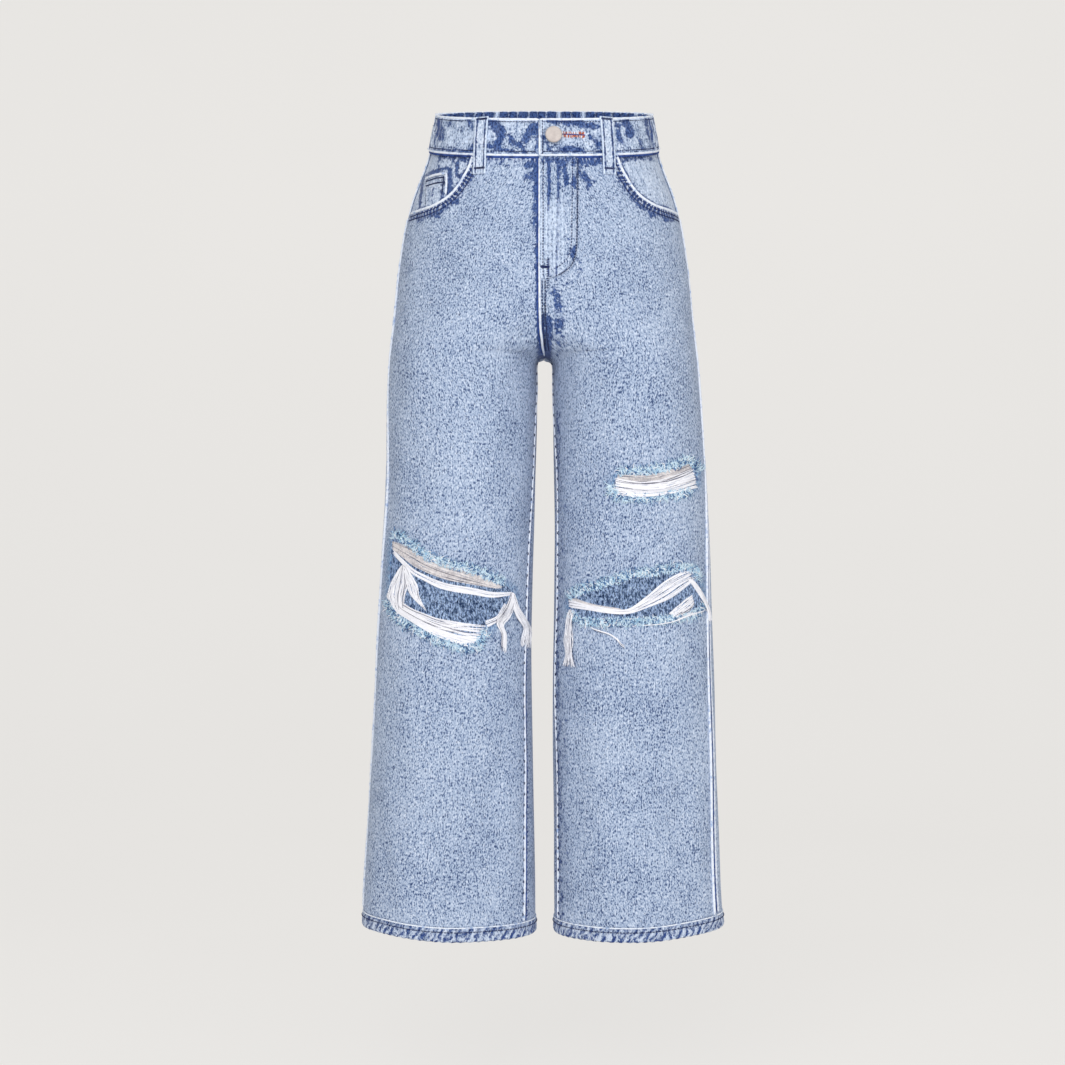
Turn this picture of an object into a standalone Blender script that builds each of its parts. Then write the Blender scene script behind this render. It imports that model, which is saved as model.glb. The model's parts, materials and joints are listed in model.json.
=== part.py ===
"""Ripped wide-leg jeans with a gathered elastic back waist, filled out as if worn.

Units are metres, with +Z up, the front facing -Y and the wearer's left at +X.
The origin is the centre of the waist ring, where a wearer's waist holds the garment up.
Sizes in the tables are millimetres, as a maker would write them on a size chart.
"""

import math
from collections import namedtuple

import bmesh
import bpy
from mathutils import Vector
from mathutils.bvhtree import BVHTree

MM = 0.001

# Driving dimensions, in millimetres
CLOTH = 1.4
SEAM_GAP = 0.4
LAY_GAP = 0.6
BAND_TOP = 19.8
BAND_HEIGHT = 37.5
BAND_PROUD = 1.2
BAND_THICKNESS = 3.0
WAIST_TILT = 0.27
TILT_FADE_TOP = -20.0
TILT_FADE_BOTTOM = -215.0
CROTCH_HEIGHT = -240.0
RISE_CURVE_HEIGHT = 96.0
LEG_PART_RADIUS = 12.0
HEM_HEIGHT = 15.0
HEM_BOTTOM = -852.0
HEM_PROUD = 0.8
HEM_THICKNESS = 3.0
HEM_SIDE_LIFT = 7.0
HEM_LIFT_REACH = 200.0
BAND_BOTTOM = BAND_TOP - BAND_HEIGHT
PANEL_TOP = BAND_BOTTOM - SEAM_GAP
PANEL_BOTTOM = HEM_BOTTOM + HEM_HEIGHT + SEAM_GAP
YOKE_SIDE_HEIGHT = 36.0
YOKE_CENTRE_HEIGHT = 62.0

# Outline of the garment, one row for each level: half widths of the wearer's right and left side,
# the half gap between the legs on each side, the reach of the front and the back from the
# middle line, how far that line lies behind the origin, and how square the section is
Section = namedtuple(
    "Section", "height right_out left_out right_gap left_gap front back middle square"
)
SECTIONS = [
    Section(30.0, 112.0, 112.0, 9.0, 9.0, 83.0, 83.0, 0.0, 2.30),
    Section(0.0, 118.5, 118.0, 9.0, 9.0, 86.0, 86.0, 0.0, 2.30),
    Section(-28.0, 124.5, 123.5, 9.0, 9.0, 89.0, 90.0, 1.0, 2.32),
    Section(-77.0, 142.0, 141.0, 9.0, 9.0, 98.0, 101.0, 4.0, 2.35),
    Section(-141.0, 154.5, 152.5, 9.0, 9.0, 106.0, 109.0, 8.0, 2.35),
    Section(-205.0, 162.0, 159.0, 9.0, 9.0, 106.0, 106.0, 10.0, 2.30),
    Section(-240.0, 166.0, 163.0, 9.0, 9.0, 102.0, 102.0, 10.0, 2.25),
    Section(-281.0, 168.5, 166.5, 8.0, 9.0, 97.0, 96.0, 8.0, 2.20),
    Section(-384.0, 170.0, 174.0, 10.0, 11.0, 87.0, 84.0, 4.0, 2.15),
    Section(-486.0, 175.5, 178.0, 13.0, 10.5, 80.0, 76.0, 2.0, 2.15),
    Section(-590.0, 180.0, 181.5, 14.0, 8.5, 75.0, 73.0, 1.0, 2.15),
    Section(-692.0, 185.5, 184.5, 11.5, 10.0, 71.0, 71.0, 1.0, 2.15),
    Section(-795.0, 191.5, 187.5, 10.0, 10.5, 68.0, 69.0, 1.0, 2.15),
    Section(-860.0, 194.5, 191.5, 9.5, 10.5, 66.0, 68.0, 1.0, 2.15),
]

# Seams of each leg, in degrees that they lie to the front of the leg's own side line
SeamRow = namedtuple("SeamRow", "height right_out left_out right_in left_in")
SEAMS = [
    SeamRow(30.0, 0.0, 0.0, 0.0, 0.0),
    SeamRow(-140.0, 3.0, 2.0, 0.0, 0.0),
    SeamRow(-240.0, 9.0, 6.0, 0.0, 0.0),
    SeamRow(-300.0, 13.0, 9.0, 8.0, 6.0),
    SeamRow(-384.0, 14.0, 13.0, 15.0, 13.0),
    SeamRow(-486.0, 7.0, 18.0, 20.0, 14.0),
    SeamRow(-590.0, 0.0, 20.0, 23.0, 14.0),
    SeamRow(-692.0, -6.0, 21.0, 25.0, 14.0),
    SeamRow(-860.0, -10.0, 22.0, 29.0, 15.0),
]

# Soft folds of the cloth: where each lies round the leg in degrees (front positive, back
# negative, 0 at the outer side), its heights, its width in degrees and how far it stands out
Fold = namedtuple("Fold", "side angle top bottom width depth")
FOLDS = [
    Fold(-1, 66.0, -560.0, -900.0, 15.0, 2.6),
    Fold(-1, 118.0, -600.0, -900.0, 17.0, -2.4),
    Fold(-1, 100.0, -250.0, -440.0, 16.0, 2.0),
    Fold(1, 60.0, -570.0, -900.0, 16.0, -2.2),
    Fold(1, 112.0, -540.0, -900.0, 15.0, 2.6),
    Fold(1, 120.0, -250.0, -430.0, 15.0, -2.0),
    Fold(-1, -62.0, -330.0, -900.0, 18.0, 3.2),
    Fold(-1, -120.0, -300.0, -640.0, 16.0, -3.0),
    Fold(-1, -98.0, -600.0, -900.0, 15.0, -2.6),
    Fold(1, -66.0, -340.0, -900.0, 17.0, -3.0),
    Fold(1, -112.0, -290.0, -700.0, 18.0, 3.2),
    Fold(1, -90.0, -620.0, -900.0, 14.0, 2.4),
]

# Elastic gathers of the back waist
BACK_GATHERS = 28
GATHER_DEPTH = 1.9
YOKE_GATHERS = 7
YOKE_GATHER_DEPTH = 1.6

# Grid sizes of the cloth walls
PANEL_COLUMNS = 11
GATHER_STEPS = 4

DENIM = (0.46, 0.57, 0.74, 1.0)
DENIM_LIGHT = (0.60, 0.69, 0.80, 1.0)
DENIM_DEEP = (0.30, 0.42, 0.62, 1.0)
YARN = (0.90, 0.90, 0.92, 1.0)
METAL = (0.72, 0.66, 0.60, 1.0)


def clear_scene():
    """Remove what the scene holds before the garment is made."""
    for item in list(bpy.data.objects):
        bpy.data.objects.remove(item, do_unlink=True)


def smooth_step(value, start, end):
    """0 at start, 1 at end, with a soft change between."""
    share = min(1.0, max(0.0, (value - start) / (end - start)))
    return share * share * (3 - 2 * share)


def read_table(rows, column, height):
    """A column of a table at a height, on a smooth curve through its rows."""
    heights = [row.height for row in rows]
    values = [getattr(row, column) for row in rows]
    if height >= heights[0]:
        return values[0]
    if height <= heights[-1]:
        return values[-1]
    low = next(i for i in range(len(rows) - 1) if heights[i + 1] <= height)
    span = heights[low + 1] - heights[low]
    share = (height - heights[low]) / span

    def slope(i):
        before, after = max(0, i - 1), min(len(rows) - 1, i + 1)
        return (values[after] - values[before]) / (heights[after] - heights[before])

    a, b = values[low], values[low + 1]
    ta, tb = slope(low) * span, slope(low + 1) * span
    s2, s3 = share * share, share**3
    return (
        a * (2 * s3 - 3 * s2 + 1)
        + ta * (s3 - 2 * s2 + share)
        + b * (3 * s2 - 2 * s3)
        + tb * (s3 - s2)
    )


Ring = namedtuple("Ring", "centre reach front back middle square")


def ring_at(side, height):
    """The section of one half of the garment at a height: a rounded ring, cut off at the
    centre plane above the crotch and whole below it."""
    name = "left" if side > 0 else "right"
    out = read_table(SECTIONS, f"{name}_out", height)
    gap = read_table(SECTIONS, f"{name}_gap", height)
    below = CROTCH_HEIGHT - height
    parted = min(1.0, max(0.0, below / LEG_PART_RADIUS))
    gap *= math.sqrt(1 - (1 - parted) ** 2)
    rise = min(1.0, max(0.0, -below / RISE_CURVE_HEIGHT))
    legness = (1 - rise) ** 1.5 if rise > 0 else 1.0
    centre = legness * (out + gap) / 2
    return Ring(
        centre,
        out - centre,
        read_table(SECTIONS, "front", height),
        read_table(SECTIONS, "back", height),
        read_table(SECTIONS, "middle", height),
        read_table(SECTIONS, "square", height),
    )


def lifted(x, y, height):
    """A point's real height: the waist tilts up to the back, and the hems rise at the sides."""
    tilt = WAIST_TILT * smooth_step(height, TILT_FADE_BOTTOM, TILT_FADE_TOP)
    low = 1 - smooth_step(height, HEM_BOTTOM, HEM_BOTTOM + HEM_LIFT_REACH)
    outward = smooth_step(abs(x), 90.0, 195.0)
    return height + tilt * y + HEM_SIDE_LIFT * low * outward


def fold_at(side, angle, height):
    """How far the folds move the cloth out at an angle round the leg, in degrees."""
    out = 0.0
    for fold in FOLDS:
        if fold.side != side:
            continue
        across = (angle - fold.angle) / fold.width
        if abs(across) >= 3:
            continue
        ends = smooth_step(height, fold.top, fold.top - 90) * (
            1 - smooth_step(height, fold.bottom + 90, fold.bottom)
        )
        out += fold.depth * ends * math.exp(-across * across)
    return out


def cloth_point(side, height, angle):
    """A point of the cloth's outer face, in millimetres: angle is 0 at the outer side, 90 at
    the front, 180 at the inner side and -90 at the back."""
    ring = ring_at(side, height)
    turn = math.radians(angle)
    power = 2 / ring.square
    c, s = math.cos(turn), math.sin(turn)
    depth = ring.front if s > 0 else ring.back
    fold = fold_at(side, angle, height)
    x = ring.centre + (ring.reach + fold) * math.copysign(abs(c) ** power, c)
    y = ring.middle - (depth + fold) * math.copysign(abs(s) ** power, s)
    return Vector((side * x, y, lifted(x, y, height)))


def cloth_normal(side, height, angle):
    """The outward direction of the cloth at a point."""
    turn, rise = 0.8, 1.0
    across = cloth_point(side, height, angle + turn) - cloth_point(side, height, angle - turn)
    up = cloth_point(side, height + rise, angle) - cloth_point(side, height - rise, angle)
    return (up.cross(across) * side).normalized()


def centre_angle(side, height, margin):
    """The angle, in front or behind, where the ring reaches the centre plane; 180 below the
    crotch."""
    ring = ring_at(side, height)
    share = (ring.centre - margin) / ring.reach
    if share >= 1:
        return 180.0
    cosine = math.copysign(abs(share) ** (ring.square / 2), -share)
    return math.degrees(math.acos(max(-1.0, cosine)))


def seam_angle(side, height, seam):
    """The angle of a leg's outer or inner seam, seam being out or in."""
    name = f"{'left' if side > 0 else 'right'}_{seam}"
    offset = read_table(SEAMS, name, height)
    return offset if seam == "out" else 180.0 - offset


def even_angles(side, height, start, end, count):
    """Angles that part the ring between two angles into equal lengths of cloth."""
    fine = 48
    angles = [start + (end - start) * i / fine for i in range(fine + 1)]
    points = [cloth_point(side, height, a) for a in angles]
    lengths = [0.0]
    for a, b in zip(points, points[1:]):
        lengths.append(lengths[-1] + (b - a).length)
    chosen = []
    for i in range(count + 1):
        wanted = lengths[-1] * i / count
        k = next((j for j in range(1, fine + 1) if lengths[j] >= wanted - 1e-9), fine)
        step = lengths[k] - lengths[k - 1]
        share = (wanted - lengths[k - 1]) / step if step > 0 else 0.0
        chosen.append(angles[k - 1] + share * (angles[k] - angles[k - 1]))
    return chosen


def ring_length_per_degree(side, height, angle):
    """Millimetres of cloth in one degree, near an angle."""
    return (cloth_point(side, height, angle + 1) - cloth_point(side, height, angle - 1)).length / 2


def material(name, colour, roughness=0.85, metallic=0.0):
    """A material with one colour, roughness and metallic value, made once."""
    made = bpy.data.materials.get(name)
    if made is None:
        made = bpy.data.materials.new(name)
        made.use_nodes = True
        shader = made.node_tree.nodes["Principled BSDF"]
        shader.inputs["Base Color"].default_value = colour
        shader.inputs["Roughness"].default_value = roughness
        shader.inputs["Metallic"].default_value = metallic
        made.diffuse_color = colour
    return made


def collection(name):
    """A collection of that name, linked to the scene once."""
    made = bpy.data.collections.get(name)
    if made is None:
        made = bpy.data.collections.new(name)
        bpy.context.scene.collection.children.link(made)
    return made


def add_object(name, mesh_maker, finish):
    """A named object of the garment from a filled bmesh."""
    mesh = bpy.data.meshes.new(name)
    bmesh.ops.recalc_face_normals(mesh_maker, faces=mesh_maker.faces)
    if mesh_maker.calc_volume(signed=True) < 0:
        bmesh.ops.reverse_faces(mesh_maker, faces=mesh_maker.faces)
    mesh_maker.to_mesh(mesh)
    mesh_maker.free()
    made = bpy.data.objects.new(name, mesh)
    collection("jeans").objects.link(made)
    mesh.materials.append(finish)
    mesh.shade_smooth()
    mesh.set_sharp_from_angle(angle=math.radians(40))
    return made


def wall(name, columns, rows, place, finish, closed=False):
    """A closed wall of cloth: place(column, row) gives its outer and inner point in mm."""
    maker = bmesh.new()
    bmesh.ops.create_grid(maker, x_segments=columns, y_segments=rows, size=1.0)
    bmesh.ops.extrude_face_region(maker, geom=list(maker.faces), use_keep_orig=True)
    maker.verts.ensure_lookup_table()
    half = len(maker.verts) // 2
    ends = set()
    for index, vert in enumerate(maker.verts):
        column = round((vert.co.x + 1) / 2 * columns)
        row = round((1 - vert.co.y) / 2 * rows)
        vert.co = place(column, row)[0 if index < half else 1] * MM
        if column in (0, columns):
            ends.add(vert)
    if closed:
        side_faces = [f for f in maker.faces if all(v in ends for v in f.verts)]
        bmesh.ops.delete(maker, geom=side_faces, context="FACES")
        bmesh.ops.remove_doubles(maker, verts=maker.verts, dist=0.00002)
    return add_object(name, maker, finish)


def offset_pair(point, normal, outer, inner):
    """The outer and inner point of a wall that stands between two offsets of the cloth."""
    return point + normal * outer, point + normal * inner


def panel_levels(top):
    """Heights of a panel's rows, from its top to the hem: close together over the hips and
    closest at the crotch. Panels that meet at a seam share them."""
    heights = [PANEL_TOP]
    while heights[-1] > PANEL_BOTTOM:
        height = heights[-1]
        if CROTCH_HEIGHT - 14 < height <= -140:
            step = 13.5
        else:
            step = 18.0 if height > -85 else 36.0
        heights.append(height - step)
    heights[-1] = PANEL_BOTTOM
    if heights[-2] - PANEL_BOTTOM < 15:
        del heights[-2]
    return [top] + [height for height in heights if height < top - 6]


def front_grid(side):
    """The levels of a front panel, and the angles of its columns at each."""
    heights = panel_levels(PANEL_TOP)
    lines = []
    for height in heights:
        inner = min(
            centre_angle(side, height, SEAM_GAP / 2), seam_angle(side, height, "in")
        )
        outer = seam_angle(side, height, "out")
        half = SEAM_GAP / 2
        inner_gap = half / ring_length_per_degree(side, height, inner) if inner > 150 else 0.0
        outer_gap = half / ring_length_per_degree(side, height, outer)
        if height > CROTCH_HEIGHT:
            inner_gap = 0.0
        lines.append(
            even_angles(side, height, inner - inner_gap, outer + outer_gap, PANEL_COLUMNS)
        )
    return heights, lines


def front_panel(side, name, finish):
    """One front leg panel, from the waistband to the hem."""
    heights, lines = front_grid(side)

    def place(column, row):
        angle = lines[row][column]
        point = cloth_point(side, heights[row], angle)
        return offset_pair(point, cloth_normal(side, heights[row], angle), 0.0, -CLOTH)

    return wall(name, PANEL_COLUMNS, len(heights) - 1, place, finish)


def yoke_drop(side, angle, height):
    """How far below the waistband the yoke seam lies at an angle of the back."""
    centre = -centre_angle(side, height, 0.0)
    share = min(1.0, max(0.0, angle / centre))
    return YOKE_SIDE_HEIGHT + (YOKE_CENTRE_HEIGHT - YOKE_SIDE_HEIGHT) * share


def back_angles(side, height, columns):
    """Angles of a back panel's columns, from its outer seam round the back to its inner edge."""
    half = SEAM_GAP / 2
    outer = seam_angle(side, height, "out")
    outer_gap = half / ring_length_per_degree(side, height, outer)
    if height > CROTCH_HEIGHT:
        inner = -centre_angle(side, height, half)
        inner_gap = 0.0
    else:
        inner = seam_angle(side, height, "in") - 360.0
        inner_gap = half / ring_length_per_degree(side, height, inner)
    return even_angles(side, height, outer - outer_gap, inner + inner_gap, columns)


def back_panel(side, name, finish):
    """One back leg panel, from the yoke seam to the hem."""
    top = PANEL_TOP - YOKE_SIDE_HEIGHT - SEAM_GAP
    heights = panel_levels(top)
    lines = [back_angles(side, height, PANEL_COLUMNS) for height in heights]
    drop_fade = -150.0

    def place(column, row):
        height, angle = heights[row], lines[row][column]
        drop = yoke_drop(side, angle, height) - YOKE_SIDE_HEIGHT
        height -= drop * smooth_step(height, drop_fade, top)
        point = cloth_point(side, height, angle)
        return offset_pair(point, cloth_normal(side, height, angle), 0.0, -CLOTH)

    return wall(name, PANEL_COLUMNS, len(heights) - 1, place, finish)


def yoke(side, name, finish):
    """One half of the back yoke, gathered by the elastic above it."""
    columns, rows = YOKE_GATHERS * GATHER_STEPS, 3
    angles = [back_angles(side, PANEL_TOP, columns)[c] for c in range(columns + 1)]

    def place(column, row):
        share = row / rows
        angle = angles[column]
        height = PANEL_TOP - share * yoke_drop(side, angle, PANEL_TOP)
        inner = -centre_angle(side, height, SEAM_GAP / 2)
        angle = max(angle, inner)
        wave = math.cos(2 * math.pi * YOKE_GATHERS * column / columns)
        edge = min(1.0, column / GATHER_STEPS, (columns - column) / GATHER_STEPS)
        swell = YOKE_GATHER_DEPTH * wave * edge * (1 - share) ** 1.3
        point = cloth_point(side, height, angle)
        return offset_pair(point, cloth_normal(side, height, angle), swell, swell - CLOTH)

    return wall(name, columns, rows, place, finish)


def front_at(x, height):
    """A point of the front cloth and its outward direction, from its place in front view."""
    side = 1 if x >= 0 else -1

    def angle_of(level):
        ring = ring_at(side, level)
        share = max(-1.0, min(1.0, (abs(x) - ring.centre) / ring.reach))
        cosine = math.copysign(abs(share) ** (ring.square / 2), share)
        return math.degrees(math.acos(cosine))

    level = height
    for _ in range(8):
        point = cloth_point(side, level, angle_of(level))
        level += height - point.z
    angle = angle_of(level)
    return cloth_point(side, level, angle), cloth_normal(side, level, angle)


def back_at(x, height):
    """The same for the back cloth."""
    side = 1 if x >= 0 else -1

    def angle_of(level):
        ring = ring_at(side, level)
        share = max(-1.0, min(1.0, (abs(x) - ring.centre) / ring.reach))
        cosine = math.copysign(abs(share) ** (ring.square / 2), share)
        return -math.degrees(math.acos(cosine))

    level = height
    for _ in range(8):
        point = cloth_point(side, level, angle_of(level))
        level += height - point.z
    angle = angle_of(level)
    return cloth_point(side, level, angle), cloth_normal(side, level, angle)


def facet_at(skin, x, height):
    """A point of a front panel as it is made of flat faces, with the cloth's outward direction
    there, from its place in front view."""
    hit = skin.ray_cast(Vector((x, -400.0, height)) * MM, Vector((0, 1, 0)))[0]
    point, normal = front_at(x, height)
    return (hit / MM if hit else point), normal


def closed_curve(corners, steps):
    """Points on a smooth closed curve through corners, as (across, height) pairs."""
    count = len(corners)
    points = []
    for i in range(count):
        p0, p1 = corners[i - 1], corners[i]
        p2, p3 = corners[(i + 1) % count], corners[(i + 2) % count]
        for k in range(steps):
            t = k / steps
            points.append(
                tuple(
                    0.5
                    * (
                        2 * p1[j]
                        + (p2[j] - p0[j]) * t
                        + (2 * p0[j] - 5 * p1[j] + 4 * p2[j] - p3[j]) * t * t
                        + (3 * p1[j] - p0[j] - 3 * p2[j] + p3[j]) * t**3
                    )
                    for j in range(2)
                )
            )
    return points


def open_curve(corners, steps):
    """Points on a smooth open curve through corners of any number of values."""
    size = len(corners[0])
    ahead = tuple(2 * corners[0][j] - corners[1][j] for j in range(size))
    after = tuple(2 * corners[-1][j] - corners[-2][j] for j in range(size))
    padded = [ahead, *corners, after]
    points = []
    for i in range(len(corners) - 1):
        p0, p1, p2, p3 = padded[i : i + 4]
        for k in range(steps):
            t = k / steps
            points.append(
                tuple(
                    0.5
                    * (
                        2 * p1[j]
                        + (p2[j] - p0[j]) * t
                        + (2 * p0[j] - 5 * p1[j] + 4 * p2[j] - p3[j]) * t * t
                        + (3 * p1[j] - p0[j] - 3 * p2[j] + p3[j]) * t**3
                    )
                    for j in range(size)
                )
            )
    points.append(tuple(corners[-1]))
    return points


def inset(outline, distance):
    """A closed outline moved towards its inside; the outline runs clockwise in front view."""
    count = len(outline)
    moved = []
    for i in range(count):
        ax, az = outline[i - 1]
        bx, bz = outline[(i + 1) % count]
        length = math.hypot(bx - ax, bz - az)
        inward = ((bz - az) / length, -(bx - ax) / length)
        moved.append((outline[i][0] + inward[0] * distance, outline[i][1] + inward[1] * distance))
    return moved


def cutter(name, outline):
    """A prism that cuts the front cloth along an outline of its front view."""
    maker = bmesh.new()
    ring = [maker.verts.new((x * MM, -0.16, z * MM)) for x, z in outline]
    face = maker.faces.new(ring)
    grown = bmesh.ops.extrude_face_region(maker, geom=[face], use_keep_orig=True)
    verts = [v for v in grown["geom"] if isinstance(v, bmesh.types.BMVert)]
    bmesh.ops.translate(maker, verts=verts, vec=(0, 0.168, 0))
    bmesh.ops.recalc_face_normals(maker, faces=maker.faces)
    mesh = bpy.data.meshes.new(name)
    maker.to_mesh(mesh)
    maker.free()
    made = bpy.data.objects.new(name, mesh)
    collection("cutters").objects.link(made)
    made.hide_render = True
    made.display_type = "WIRE"
    return made


def cut(target, tool):
    """Take the cutter out of the target."""
    change = target.modifiers.new("cut_" + tool.name, "BOOLEAN")
    change.operation = "DIFFERENCE"
    change.solver = "EXACT"
    change.object = tool


# Front pocket mouth, from the waistband to the side seam: distance from the centre, and height
POCKET_MOUTH = [(73.5, -36.0), (78.5, -50.0), (84.0, -60.0), (91.0, -71.0),
                (101.5, -81.0), (116.0, -87.5), (131.0, -89.5), (150.0, -89.5)]
MOUTH_ABOVE = 12.0
MOUTH_BEYOND = 175.0


def pocket_cutter(side, name):
    """The prism that cuts a pocket mouth out of a front panel."""
    curve = open_curve(POCKET_MOUTH, 3)
    outline = [(side * x, z) for x, z in curve]
    outline.append((side * MOUTH_BEYOND, POCKET_MOUTH[-1][1]))
    outline.append((side * MOUTH_BEYOND, MOUTH_ABOVE))
    outline.append((side * POCKET_MOUTH[0][0], MOUTH_ABOVE))
    return cutter(name, outline)


def pocket_facing(side, name, finish):
    """The cloth that shows in a pocket mouth, behind the front panel and on its own grid."""
    heights, lines = front_grid(side)
    columns, rows = 5, 5
    behind = -CLOTH - LAY_GAP

    def place(column, row):
        angle = lines[row][PANEL_COLUMNS - columns + column]
        point = cloth_point(side, heights[row], angle)
        normal = cloth_normal(side, heights[row], angle)
        return offset_pair(point, normal, behind, behind - CLOTH)

    return wall(name, columns, rows, place, finish)


def mouth_height(across):
    """The height of the pocket mouth's edge at a distance from the centre."""
    curve = open_curve(POCKET_MOUTH, 3)
    for (x0, z0), (x1, z1) in zip(curve, curve[1:]):
        if x0 <= across <= x1:
            return z0 + (z1 - z0) * (across - x0) / (x1 - x0)
    return POCKET_MOUTH[-1][1]


def patch(name, surface, columns, rows, spot, offsets, finish):
    """A piece that lies on a panel: spot(column share, row share) gives its place in front
    view, surface the cloth there, and offsets(place) the outer and inner stand-off."""

    def place(column, row):
        across, height = spot(column / columns, row / rows)
        point, normal = surface(across, height)
        return offset_pair(point, normal, *offsets(across, height))

    return wall(name, columns, rows, place, finish)


# Fly, in front view
FLY_EDGE = -5.7
FLY_WIDTH = 38.7
FLY_TOP = -43.0
FLY_BOTTOM = -168.0
FLY_CURVE = 34.0


def fly(finish):
    """The fly flap, whose lower corner is rounded off towards the centre seam."""

    def spot(across, down):
        height = FLY_TOP + (FLY_BOTTOM - FLY_TOP) * down
        into = max(0.0, FLY_BOTTOM + FLY_CURVE - height) / FLY_CURVE
        width = 8.0 + (FLY_WIDTH - 8.0) * math.sqrt(max(0.0, 1 - into**2))
        return FLY_EDGE + width * across, height

    def offsets(across, height):
        return LAY_GAP + CLOTH, LAY_GAP

    def eased(across, down):
        return spot(across, math.sin(down * math.pi / 2) ** 0.85)

    return patch("fly", front_at, 4, 12, eased, offsets, finish)


def coin_pocket(finish):
    """The small pocket on the wearer's right facing; its foot ends at the mouth's edge."""
    left, right, top = -126.0, -102.5, -54.0
    thickness = 1.0

    def spot(across, down):
        x = left + (right - left) * across
        foot = mouth_height(-x) + 1.4
        return x, top + (foot - top) * down

    def offsets(across, height):
        inner = -CLOTH
        return inner + thickness, inner

    return patch("coin_pocket", front_at, 3, 3, spot, offsets, finish)


def back_pocket(side, name, finish):
    """A patch pocket with a pointed foot, on a back panel."""
    middle, top, bottom = 66.0, -74.0, -178.0
    half_top, half_bottom, point_drop = 52.0, 46.0, 16.0

    def spot(across, down):
        half = half_top + (half_bottom - half_top) * down
        x = (2 * across - 1) * half
        foot = bottom - point_drop * (1 - abs(x) / half)
        rim = top - 0.06 * (abs(middle + x) - middle)
        return side * (middle + x), rim + (foot - rim) * down

    def offsets(across, height):
        return LAY_GAP + 0.2 + CLOTH, LAY_GAP + 0.2

    return patch(name, back_at, 10, 6, spot, offsets, finish)


# Belt loops: the cloth they lie on, where their top and bottom are, and their top's height
Loop = namedtuple("Loop", "name surface top_x bottom_x top bottom stand")
LOOP_WIDTH = 13.0
LOOP_THICKNESS = 1.9
LOOPS = [
    Loop("belt_loop_front_right", front_at, -63.6, -67.0, 0.8, -59.0, 0.0),
    Loop("belt_loop_front_left", front_at, 62.0, 66.0, 0.8, -59.4, 0.0),
    Loop("belt_loop_back_right", back_at, -72.0, -74.0, 38.5, -16.5, GATHER_DEPTH),
    Loop("belt_loop_back_centre", back_at, 0.0, 0.0, 43.5, -11.5, GATHER_DEPTH),
    Loop("belt_loop_back_left", back_at, 72.0, 74.0, 38.5, -16.5, GATHER_DEPTH),
]


def belt_loop(loop, finish):
    """A flat carrier that lies over the waistband, with its foot sewn to the cloth below."""
    over_band = BAND_PROUD + loop.stand + LAY_GAP + (0.3 if loop.stand else 0.0)
    on_cloth = LAY_GAP + (YOKE_GATHER_DEPTH if loop.stand else 0.1)
    band_foot = loop.top - BAND_HEIGHT

    def spot(across, down):
        middle = loop.top_x + (loop.bottom_x - loop.top_x) * down
        height = loop.top + (loop.bottom - loop.top) * down
        return middle + LOOP_WIDTH * (across - 0.5), height

    def offsets(across, height):
        share = smooth_step(height, band_foot - 12.0, band_foot - 3.0)
        inner = on_cloth + (over_band - on_cloth) * share
        return inner + LOOP_THICKNESS, inner

    return patch(loop.name, loop.surface, 2, 9, spot, offsets, finish)


def band_piece(name, side, start, end, columns, rows, ripple, finish):
    """A length of waistband round one side of the ring, start and end in degrees."""
    outer_offset, inner_offset = BAND_PROUD, BAND_PROUD - BAND_THICKNESS

    def place(column, row):
        height = BAND_TOP - BAND_HEIGHT * row / rows
        angle = even_angles(side, height, start(height), end(height), columns)[column]
        swell = ripple(column / columns)
        point = cloth_point(side, height, angle)
        normal = cloth_normal(side, height, angle)
        return offset_pair(point, normal, outer_offset + swell, inner_offset + swell)

    return wall(name, columns, rows, place, finish)


def front_bands(finish):
    """The two front lengths of waistband; the wearer's left one laps over the centre."""
    puckers, depth = 5, 0.7

    def ripple(share):
        near_side = smooth_step(share, 0.55, 0.95) * (1 - smooth_step(share, 0.95, 1.0))
        return depth * near_side * math.cos(2 * math.pi * puckers * share / 0.45)

    def side_end(side):
        def end(height):
            gap = SEAM_GAP / 2 / ring_length_per_degree(side, height, 0.0)
            return seam_angle(side, height, "out") + gap

        return end

    def angle_at(side, x):
        def start(height):
            ring = ring_at(side, height)
            share = x / ring.reach
            cosine = math.copysign(abs(share) ** (ring.square / 2), share)
            return math.degrees(math.acos(cosine))

        return start

    lap = angle_at(1, FLY_EDGE)
    under = angle_at(-1, -FLY_EDGE + SEAM_GAP)
    band_piece("waistband_front_left", 1, lap, side_end(1), 20, 2, ripple, finish)
    band_piece("waistband_front_right", -1, under, side_end(-1), 20, 2, ripple, finish)


def back_band(finish):
    """The elastic back length of waistband, gathered into waves from side to side."""
    waves = BACK_GATHERS
    columns = waves * GATHER_STEPS
    half = columns // 2
    rows = 1
    inner_offset = BAND_PROUD - BAND_THICKNESS
    lines = {}
    for row in range(rows + 1):
        height = BAND_TOP - BAND_HEIGHT * row / rows
        for side in (1, -1):
            gap = SEAM_GAP / 2 / ring_length_per_degree(side, height, 0.0)
            start = seam_angle(side, height, "out") - gap
            lines[(row, side)] = even_angles(side, height, start, -90.0, half)

    def place(column, row):
        height = BAND_TOP - BAND_HEIGHT * row / rows
        side = 1 if column <= half else -1
        index = column if side > 0 else columns - column
        angle = lines[(row, side)][index]
        wave = math.cos(2 * math.pi * waves * column / columns)
        edge = min(1.0, index / (2 * GATHER_STEPS))
        swell = GATHER_DEPTH * wave * edge
        point = cloth_point(side, height, angle)
        normal = cloth_normal(side, height, angle)
        if index == half:
            normal.x = 0.0
            normal.normalize()
        return offset_pair(point, normal, BAND_PROUD + swell, inner_offset + swell)

    return wall("waistband_back", columns, rows, place, finish)


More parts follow.
